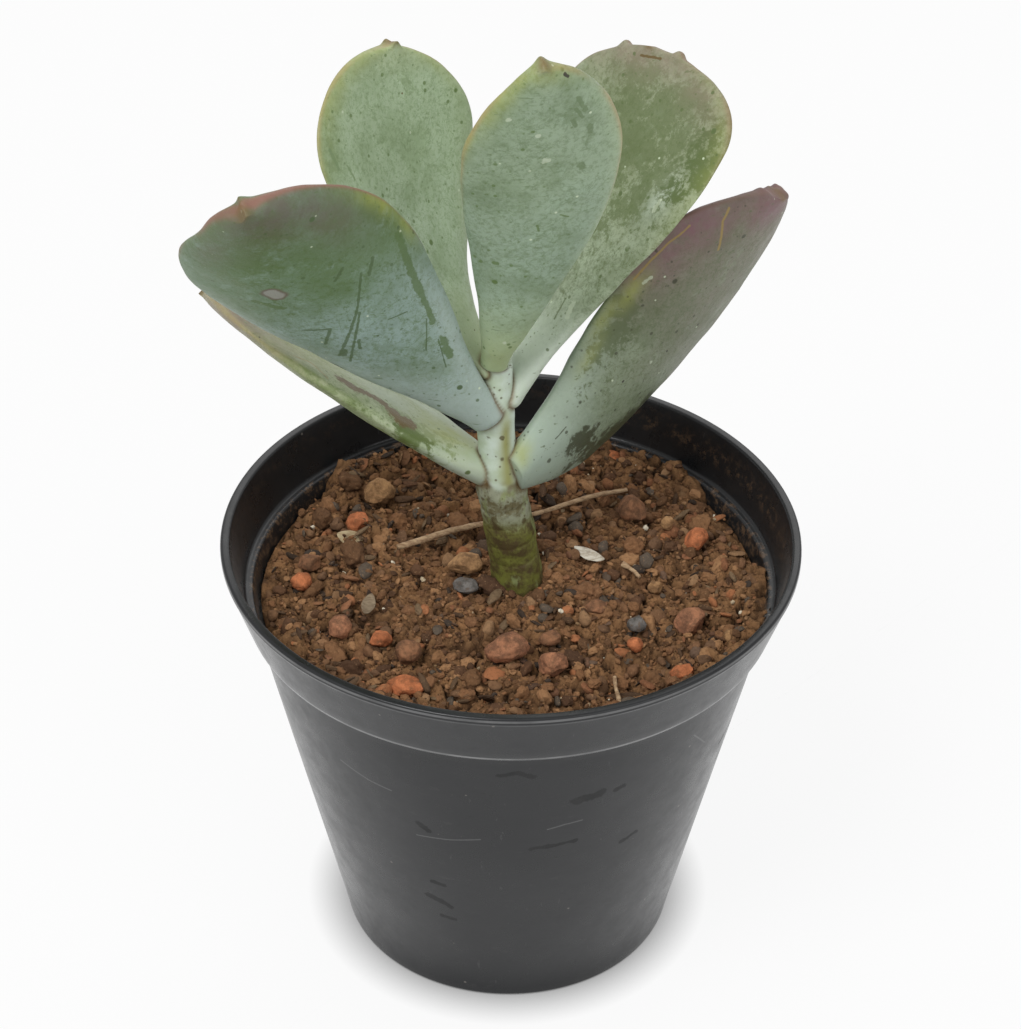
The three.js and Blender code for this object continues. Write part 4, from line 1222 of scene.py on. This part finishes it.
def make_soil(material):
    """The soil as one closed body, with its relief on top and the pot's taper below."""
    sides, rings = SOIL_SIDES, SOIL_RINGS
    angles = np.linspace(0, 2 * math.pi, sides, endpoint=False)
    reach = np.linspace(SOIL_RADIUS, 0.35, rings)
    covered = cover(angles)
    loop = np.stack([30 * np.cos(angles), 30 * np.sin(angles), 0 * angles], -1)
    wander = 0.5 + 0.5 * smooth_noise(loop, 5, 93)
    spread = SOIL_SPREAD * covered * (0.35 + 0.65 * wander)
    wide = reach[:, None] + spread * (reach[:, None] / SOIL_RADIUS) ** 8
    x = wide * np.cos(angles)
    y = wide * np.sin(angles)
    z = soil_height(x.ravel(), y.ravel()).reshape(x.shape)
    edge = np.maximum(ramp01(SOIL_RADIUS - reach, 0.0, 2.2)[:, None], covered)
    around = np.stack([SOIL_RADIUS * np.cos(angles), SOIL_RADIUS * np.sin(angles), 0 * angles], -1)
    z = edge * z + (1 - edge) * np.minimum(z, 69.9 + 0.6 * smooth_noise(around, 5, 90))
    # Height over the mean of the soil round each point, for the painted shade in its hollows and the painted
    # light on its crests.
    mean = z.copy()
    for _ in range(10):
        mean = sum(np.roll(mean, step, 1) for step in (0, 1, -1, 2, -2)) / 5
        mean[1:-1] = (mean[:-2] + mean[1:-1] + mean[2:]) / 3
    above = (z - mean).ravel()
    top = np.stack([x, y, z], -1)
    lower = []
    sides_of_soil = ((BASE_RADIUS - WALL - 0.3, FLOOR + 0.3), (BODY_FOOT_RADIUS - WALL - 0.3, FOOT_HEIGHT),
                     (SOIL_RADIUS, COLLAR_FOOT_Z - 0.5))
    for radius, height in sides_of_soil:
        lower.append(np.stack([radius * np.cos(angles), radius * np.sin(angles), height + 0 * angles], -1))
    middle = float(soil_height(np.array([0.0]), np.array([0.0]))[0])
    points = np.vstack([
        np.array(lower).reshape(-1, 3), top.reshape(-1, 3), [(0, 0, FLOOR + 0.3)], [(0, 0, middle)]])
    below = np.zeros(3 * sides)
    ends = np.zeros(2)
    faces = outward(points, loft_faces(rings + 3, sides))
    make_object("soil_body", points, faces, material, ["soil"], attributes={
        "painted_hollow_shade": np.concatenate([below, 0.9 * ramp01(-above, 0.12, 0.75), ends]),
        "painted_crest_light": np.concatenate([below, 0.4 * ramp01(above, 0.25, 0.9), ends])})


# ---- stones, grit and scraps --------------------------------------------------------

STONE_COLORS = {
    "brown": (srgb(140, 98, 70), srgb(92, 66, 48)),
    "orange": (srgb(190, 116, 76), srgb(140, 84, 54)),
    "red": (srgb(162, 112, 82), srgb(104, 72, 54)),
    "tan": (srgb(168, 130, 90), srgb(118, 88, 60)),
    "grey": (srgb(112, 108, 104), srgb(72, 68, 64)),
}

# The frame's stones: x, y, length, breadth, height, turn, colour.
STONES = {
    "stone_by_stem": (-7.6, 2.2, 7, 5, 3.6, 10, "tan"),
    "stone_slate": (-7.9, -4.2, 5, 3.6, 2.6, -20, "grey"),
    "stone_front_red": (-0.4, -21.8, 8.2, 5.6, 5.2, 25, "red"),
    "stone_front_round": (7.2, -25, 5.2, 4.6, 4.4, 0, "red"),
    "stone_front_flat": (6.8, -17.6, 4.2, 3.2, 2.4, 30, "brown"),
    "stone_right_orange": (32.8, 12.1, 4, 5.4, 3.8, -20, "orange"),
    "stone_right_lump": (21.8, 18.4, 5.5, 5.5, 5.6, 15, "brown"),
    "stone_right_wedge": (30.7, -12.3, 5.6, 4.8, 4.4, 40, "red"),
    "stone_right_bead": (21.1, -19.5, 2.8, 2.6, 3, 0, "orange"),
    "stone_right_grey": (21.6, -14.3, 3.6, 3.4, 3, 0, "grey"),
    "stone_right_pale": (27.9, 16.4, 2.6, 2.4, 2.6, 30, "tan"),
    "stone_right_small": (25.1, -2.8, 2.8, 2.4, 2.4, 0, "tan"),
    "stone_right_rim": (37.6, -15.4, 3.2, 3, 3.2, 50, "tan"),
    "stone_right_chip": (28.9, -25, 4.4, 3.4, 3, 30, "orange"),
    "stone_middle": (14.5, -9.8, 4.4, 3.4, 2.8, 10, "brown"),
    "stone_back_orange": (18.2, 38, 5, 3.4, 2.8, -20, "orange"),
    "stone_left_curl": (-27.3, 15.2, 4.4, 4, 4, 0, "orange"),
    "stone_left_lump": (-23.8, 24.4, 6.4, 5, 5, 40, "tan"),
    "stone_left_orange": (-36.4, -1.7, 3.8, 3.6, 3.4, 0, "orange"),
    "stone_left_brown": (-35.2, 3.4, 4.2, 3.6, 3.4, 30, "brown"),
    "stone_left_front": (-28.9, -15, 5.2, 4.4, 4, 70, "red"),
    "stone_left_small": (-21.8, -18.2, 4, 3.2, 3.2, -10, "orange"),
    "stone_left_big": (-17.4, -22.6, 5.4, 4.6, 4.2, 20, "brown"),
    "stone_left_flat": (-17.2, -30, 7, 4.4, 3.6, -15, "orange"),
}


def ball(level):
    """Points and faces of an icosphere of radius 1."""
    work = bmesh.new()
    bmesh.ops.create_icosphere(work, subdivisions=level, radius=1)
    points = np.array([v.co[:] for v in work.verts])
    faces = [tuple(v.index for v in f.verts) for f in work.faces]
    work.free()
    return points, faces


def chipped(points, seed, cuts=9, rough=0.05):
    """A ball worn into a stone: cut by flat faces and roughened."""
    rng = np.random.default_rng(seed)
    out = points.copy()
    for _ in range(cuts):
        normal = rng.normal(size=3)
        normal /= np.linalg.norm(normal)
        depth = rng.uniform(0.66, 0.92)
        past = np.clip(out @ normal - depth, 0, None)
        out = out - 0.85 * past[:, None] * normal
    shift = rng.uniform(0, 50, 3)
    bumps = 0.09 * smooth_noise(out + shift, 0.8, seed) + rough * layered_noise(out + shift, 0.3, seed + 5, 3)
    return out * (1 + bumps)[:, None]


def stone_material(name, light, dark):
    """Rough stone between two colours, with pale grains and soil dust."""
    s = Shader(name, roughness=0.9, specular=0.2)
    patch = s.noise(1.8, detail=7, rough=0.7)
    color = s.mix(s.band(patch, 0.35, 0.65), light, dark)
    grains = s.band(s.noise(0.35, detail=5), 0.58, 0.72, 0.0, 0.5)
    color = s.mix(grains, color, tuple(min(1, 1.5 * c) for c in light))
    soil_dust = s.band(s.noise(1.1, detail=6, rough=0.7), 0.5, 0.68, 0.0, 0.6)
    color = s.mix(soil_dust, color, srgb(96, 72, 52))
    normal = s.bump(s.noise(0.4, detail=6, rough=0.75), 0.16, 0.8)
    return s.finish(color, None, normal)


def make_stones():
    """The stones as chipped, sunken lumps, each in place of its CAD node."""
    materials = {key: stone_material("stone_" + key, *pair) for key, pair in STONE_COLORS.items()}
    sphere, faces = ball(5)
    for number, (name, (x, y, length, breadth, height, turn, color)) in enumerate(STONES.items()):
        points = chipped(sphere, 100 + number)
        points = points / np.abs(points).max(axis=0)
        points = points * (length / 2, breadth / 2, height / 2)
        points = points @ turn_about("z", -turn)
        lift = soil_base(np.array([float(x)]), np.array([float(y)]))[0] + height * 0.38
        points = points + (x, y, lift)
        make_object(name + "_rock", points, faces, materials[color], [name])


CRUMB_SHAPES = 30             # different crumbs in each mesh, turned and stretched
CRUMB_TILT = 25               # degrees


def scatter(name, material, count, sizes, seed, level=1, flatten=(0.5, 0.9), cuts=5, sink=0.25,
            reach=SOIL_RADIUS - 0.7, smooth=False, rough=0.06, slim=(0.45, 1.0)):
    """Many small crumbs on the soil, joined in one mesh, each with its own tone."""
    rng = np.random.default_rng(seed)
    sphere, faces = ball(level)
    base_faces = np.array(faces)
    points_list, faces_list, tones, underside_shade = [], [], [], []
    radius = reach * np.sqrt(rng.uniform(0.004, 1, count))
    angle = rng.uniform(0, 2 * math.pi, count)
    x, y = radius * np.cos(angle), radius * np.sin(angle)
    z = soil_height(x, y)
    low, high = sizes
    size = low * (high / low) ** (rng.uniform(0, 1, count) ** 1.8)
    shapes = [chipped(sphere, seed * 7 + k, cuts=cuts, rough=rough) for k in range(CRUMB_SHAPES)]
    for k in range(count):
        if math.hypot(x[k] - 1.1, y[k]) < STEM_CLEARANCE:
            continue
        squash = np.array([1.0, rng.uniform(*slim), rng.uniform(*flatten)])
        tilt = turn_about("z", rng.uniform(0, 360)) @ turn_about("x", rng.normal(0, CRUMB_TILT))
        tilt = tilt @ turn_about("y", rng.normal(0, CRUMB_TILT))
        local = (shapes[k % len(shapes)] * squash * size[k] / 2) @ tilt.T
        lift = size[k] / 2 * squash[2] * (1 - 2 * sink)
        faces_list.append(base_faces + len(points_list) * len(sphere))
        points_list.append(local + (x[k], y[k], z[k] + lift))
        tones += [rng.uniform()] * len(sphere)
        # How low each point sits on its crumb, for the painted shade on the underside.
        underside_shade.append(ramp01(-local[:, 2] / (size[k] / 2 * squash[2]), -0.1, 0.8))
    make_object(name, np.vstack(points_list), np.vstack(faces_list).tolist(), material, smooth=smooth,
                attributes={"tone": tones, "low": np.concatenate(underside_shade)})


def crumb_material(name, colors):
    """Crumbs that take one of several colours by their tone, with painted shade underneath."""
    s = Shader(name, roughness=0.95, specular=0.12)
    tone = s.attribute("tone")
    color = colors[0]
    for number, other in enumerate(colors[1:], 1):
        edge = number / len(colors)
        color = s.mix(s.band(tone, edge - 0.02, edge + 0.02), color, other)
    fine = s.noise(0.6, detail=7, rough=0.75)
    color = s.mix(s.band(fine, 0.45, 0.72, 0.0, 0.6), color, srgb(62, 45, 33))
    color = s.mix(s.band(s.noise(0.35, detail=3), 0.6, 0.72, 0.0, 0.4), color, srgb(168, 134, 98))
    # Painted shade on the crumbs' undersides.
    color = s.mix(s.times(s.attribute("low"), 0.6), color, srgb(38, 27, 19))
    normal = s.bump(fine, 0.18, 1.0)
    return s.finish(color, None, normal)


def make_grit():
    """Grit, crumbs, clods, flakes and bits of bark, each kind one mesh."""
    loam = crumb_material("crumbs_loam", [
        srgb(98, 71, 50), srgb(122, 88, 62), srgb(134, 98, 68), srgb(108, 78, 54), srgb(80, 58, 43),
        srgb(126, 90, 62), srgb(152, 114, 80)])
    mixed = crumb_material("crumbs_mixed", [
        srgb(118, 86, 62), srgb(158, 104, 70), srgb(88, 78, 68), srgb(92, 66, 48), srgb(142, 110, 80),
        srgb(130, 88, 62), srgb(62, 54, 48), srgb(116, 86, 62), srgb(106, 80, 60)])
    pale = crumb_material("crumbs_pale", [
        srgb(196, 178, 148), srgb(160, 140, 112), srgb(222, 212, 190), srgb(146, 118, 86)])
    bark = crumb_material("crumbs_bark", [
        srgb(74, 57, 44), srgb(94, 74, 56), srgb(60, 50, 43), srgb(114, 94, 72), srgb(82, 62, 46)])
    scatter("grit_bark", bark, 190, (2.2, 6.5), 208, level=3, cuts=7, flatten=(0.14, 0.3),
            sink=0.12, slim=(0.16, 0.42), reach=SOIL_RADIUS - 2)
    scatter("grit_fine", loam, 6200, (0.35, 1.2), 201, level=1)
    scatter("grit_small", loam, 900, (0.9, 1.8), 207, level=2, cuts=8, flatten=(0.3, 0.8), rough=0.14,
            sink=0.35)
    scatter("grit_medium", loam, 600, (1.3, 2.9), 202, level=3, cuts=8, flatten=(0.3, 0.8),
            rough=0.16, sink=0.35)
    scatter("grit_clods", loam, 110, (2.6, 6.0), 203, level=4, cuts=12, sink=0.4,
            reach=SOIL_RADIUS - 3, smooth=True, rough=0.2)
    scatter("grit_flakes", mixed, 420, (1.4, 4.4), 206, level=2, cuts=8,
            flatten=(0.12, 0.3), sink=0.1)
    scatter("grit_mixed", mixed, 420, (1.0, 3.4), 204, level=3, cuts=9, smooth=True)
    scatter("grit_pale", pale, 170, (0.4, 1.3), 205, level=1)


def dry_material(name, light, dark):
    """Dry plant fibre."""
    s = Shader(name, roughness=0.75, specular=0.25)
    grain = s.noise(0.6, detail=6, rough=0.7, stretch=(0.35, 1, 1))
    color = s.mix(s.band(grain, 0.35, 0.68), light, dark)
    color = s.mix(s.band(s.noise(1.6, detail=4), 0.55, 0.7, 0.0, 0.5), color, srgb(96, 74, 54))
    return s.finish(color, None, s.bump(grain, 0.12, 0.8))


STRAW_STEPS = 90
STRAW_SIDES = 16
# Each straw's ends, x and y of one and of the other, then its radius and how far it lies over the soil.
STRAWS = {
    "straw_long": (-19.9, 7, 21, 25.4, 0.55, 0.9),
    "straw_short": (18.2, -33.2, 17.6, -26.8, 0.45, 0.5),
    "straw_side": (19.4, 3.4, 22.4, 0.2, 0.45, 0.5),
}
# Each scrap's x, y, length, breadth and turn.
SCRAPS = {
    "scrap_left": (-28.5, 10.4, 5, 3, -20),
    "scrap_husk": (-24.4, -9.1, 5.4, 2.4, 80),
    "scrap_curl": (13.8, 5.6, 6.4, 2.4, -35),
    "scrap_rim": (34.2, -20.6, 6.4, 3.6, 15),
}


def make_straws():
    """Dry straws on the soil, each in place of its CAD node."""
    straw = dry_material("straw", srgb(176, 150, 118), srgb(128, 100, 74))
    for number, (name, (x0, y0, x1, y1, radius, lift)) in enumerate(STRAWS.items()):
        knots = []
        for share in np.linspace(0, 1, 9):
            x, y = x0 + (x1 - x0) * share, y0 + (y1 - y0) * share
            side = 0.35 * math.sin(5 * share + number)
            z = soil_base(np.array([x]), np.array([y]))[0] + lift + 0.35
            thin = radius * (1 - 0.35 * share) * (1 + 0.12 * math.sin(9 * share))
            knots.append((x + side * 0.4, y - side, z, thin))
        points, faces = rod(knots, STRAW_STEPS, STRAW_SIDES)
        points = points + 0.07 * smooth_noise(points, 1.2, 300 + number)[:, None]
        make_object(name + "_stalk", points, faces, straw, [name])


def make_scraps():
    """Curled scraps of dry leaf and husk."""
    looks = {
        "scrap_left": dry_material("scrap_left", srgb(176, 160, 128), srgb(140, 120, 90)),
        "scrap_husk": dry_material("scrap_husk", srgb(136, 120, 98), srgb(96, 80, 62)),
        "scrap_curl": dry_material("scrap_curl", srgb(196, 190, 176), srgb(150, 138, 120)),
        "scrap_rim": dry_material("scrap_rim", srgb(150, 142, 132), srgb(108, 96, 84)),
    }
    rows, columns = 40, 24
    for number, (name, (x, y, length, breadth, turn)) in enumerate(SCRAPS.items()):
        angles = np.linspace(0, 2 * math.pi, columns, endpoint=False)
        rings = []
        for share in np.linspace(0.01, 0.99, rows):
            half = breadth / 2 * math.sin(math.pi * share) ** 0.6
            along = length * (share - 0.5)
            side = half * np.cos(angles)
            curl = 0.16 * side ** 2 + 0.05 * along ** 2
            lift = curl + 0.14 * np.sin(angles)
            rings.append(np.stack([along + 0 * side, side, lift], -1))
        points = np.vstack([np.array(rings).reshape(-1, 3), [(-length / 2, 0, 0.05 * length ** 2 / 4)],
                            [(length / 2, 0, 0.05 * length ** 2 / 4)]])
        points = points + 0.2 * smooth_noise(points, 2.0, 320 + number)[:, None] * np.array([0.4, 0.4, 1])
        points = points @ turn_about("x", 14).T @ turn_about("z", turn).T
        height = soil_base(np.array([x]), np.array([y]))[0] + 0.9
        points = points + (x, y, height)
        faces = outward(points, loft_faces(rows, columns))
        make_object(name + "_flake", points, faces, looks[name], [name])


# ---- hidden pieces ------------------------------------------------------------------

def root_material():
    s = Shader("root", roughness=0.85, specular=0.2)
    grain = s.noise(1.2, detail=6, rough=0.7)
    color = s.mix(s.band(grain, 0.35, 0.7), srgb(164, 138, 104), srgb(110, 84, 58))
    return s.finish(color, None, s.bump(grain, 0.2, 0.7))


def bud_material():
    s = Shader("bud", roughness=0.5, specular=0.35)
    color = s.mix(s.band(s.noise(1.5, detail=4), 0.35, 0.7), srgb(160, 172, 120), srgb(130, 150, 96))
    return s.finish(color, None, s.bump(s.noise(0.5), 0.04, 0.5))


def set_material(node, material):
    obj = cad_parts[node]
    obj.data.materials.clear()
    obj.data.materials.append(material)


# ---- build --------------------------------------------------------------------------

make_camera()
make_floor()
make_lights()
make_pot(pot_material())
make_soil(soil_material())
stem_points, stem_faces = stem_mesh()
leaf_feet = make_leaves(stem_points)
make_stem(stem_points, stem_faces, leaf_feet)
make_stones()
make_grit()
make_straws()
make_scraps()
set_material("roots", root_material())
set_material("bud", bud_material())
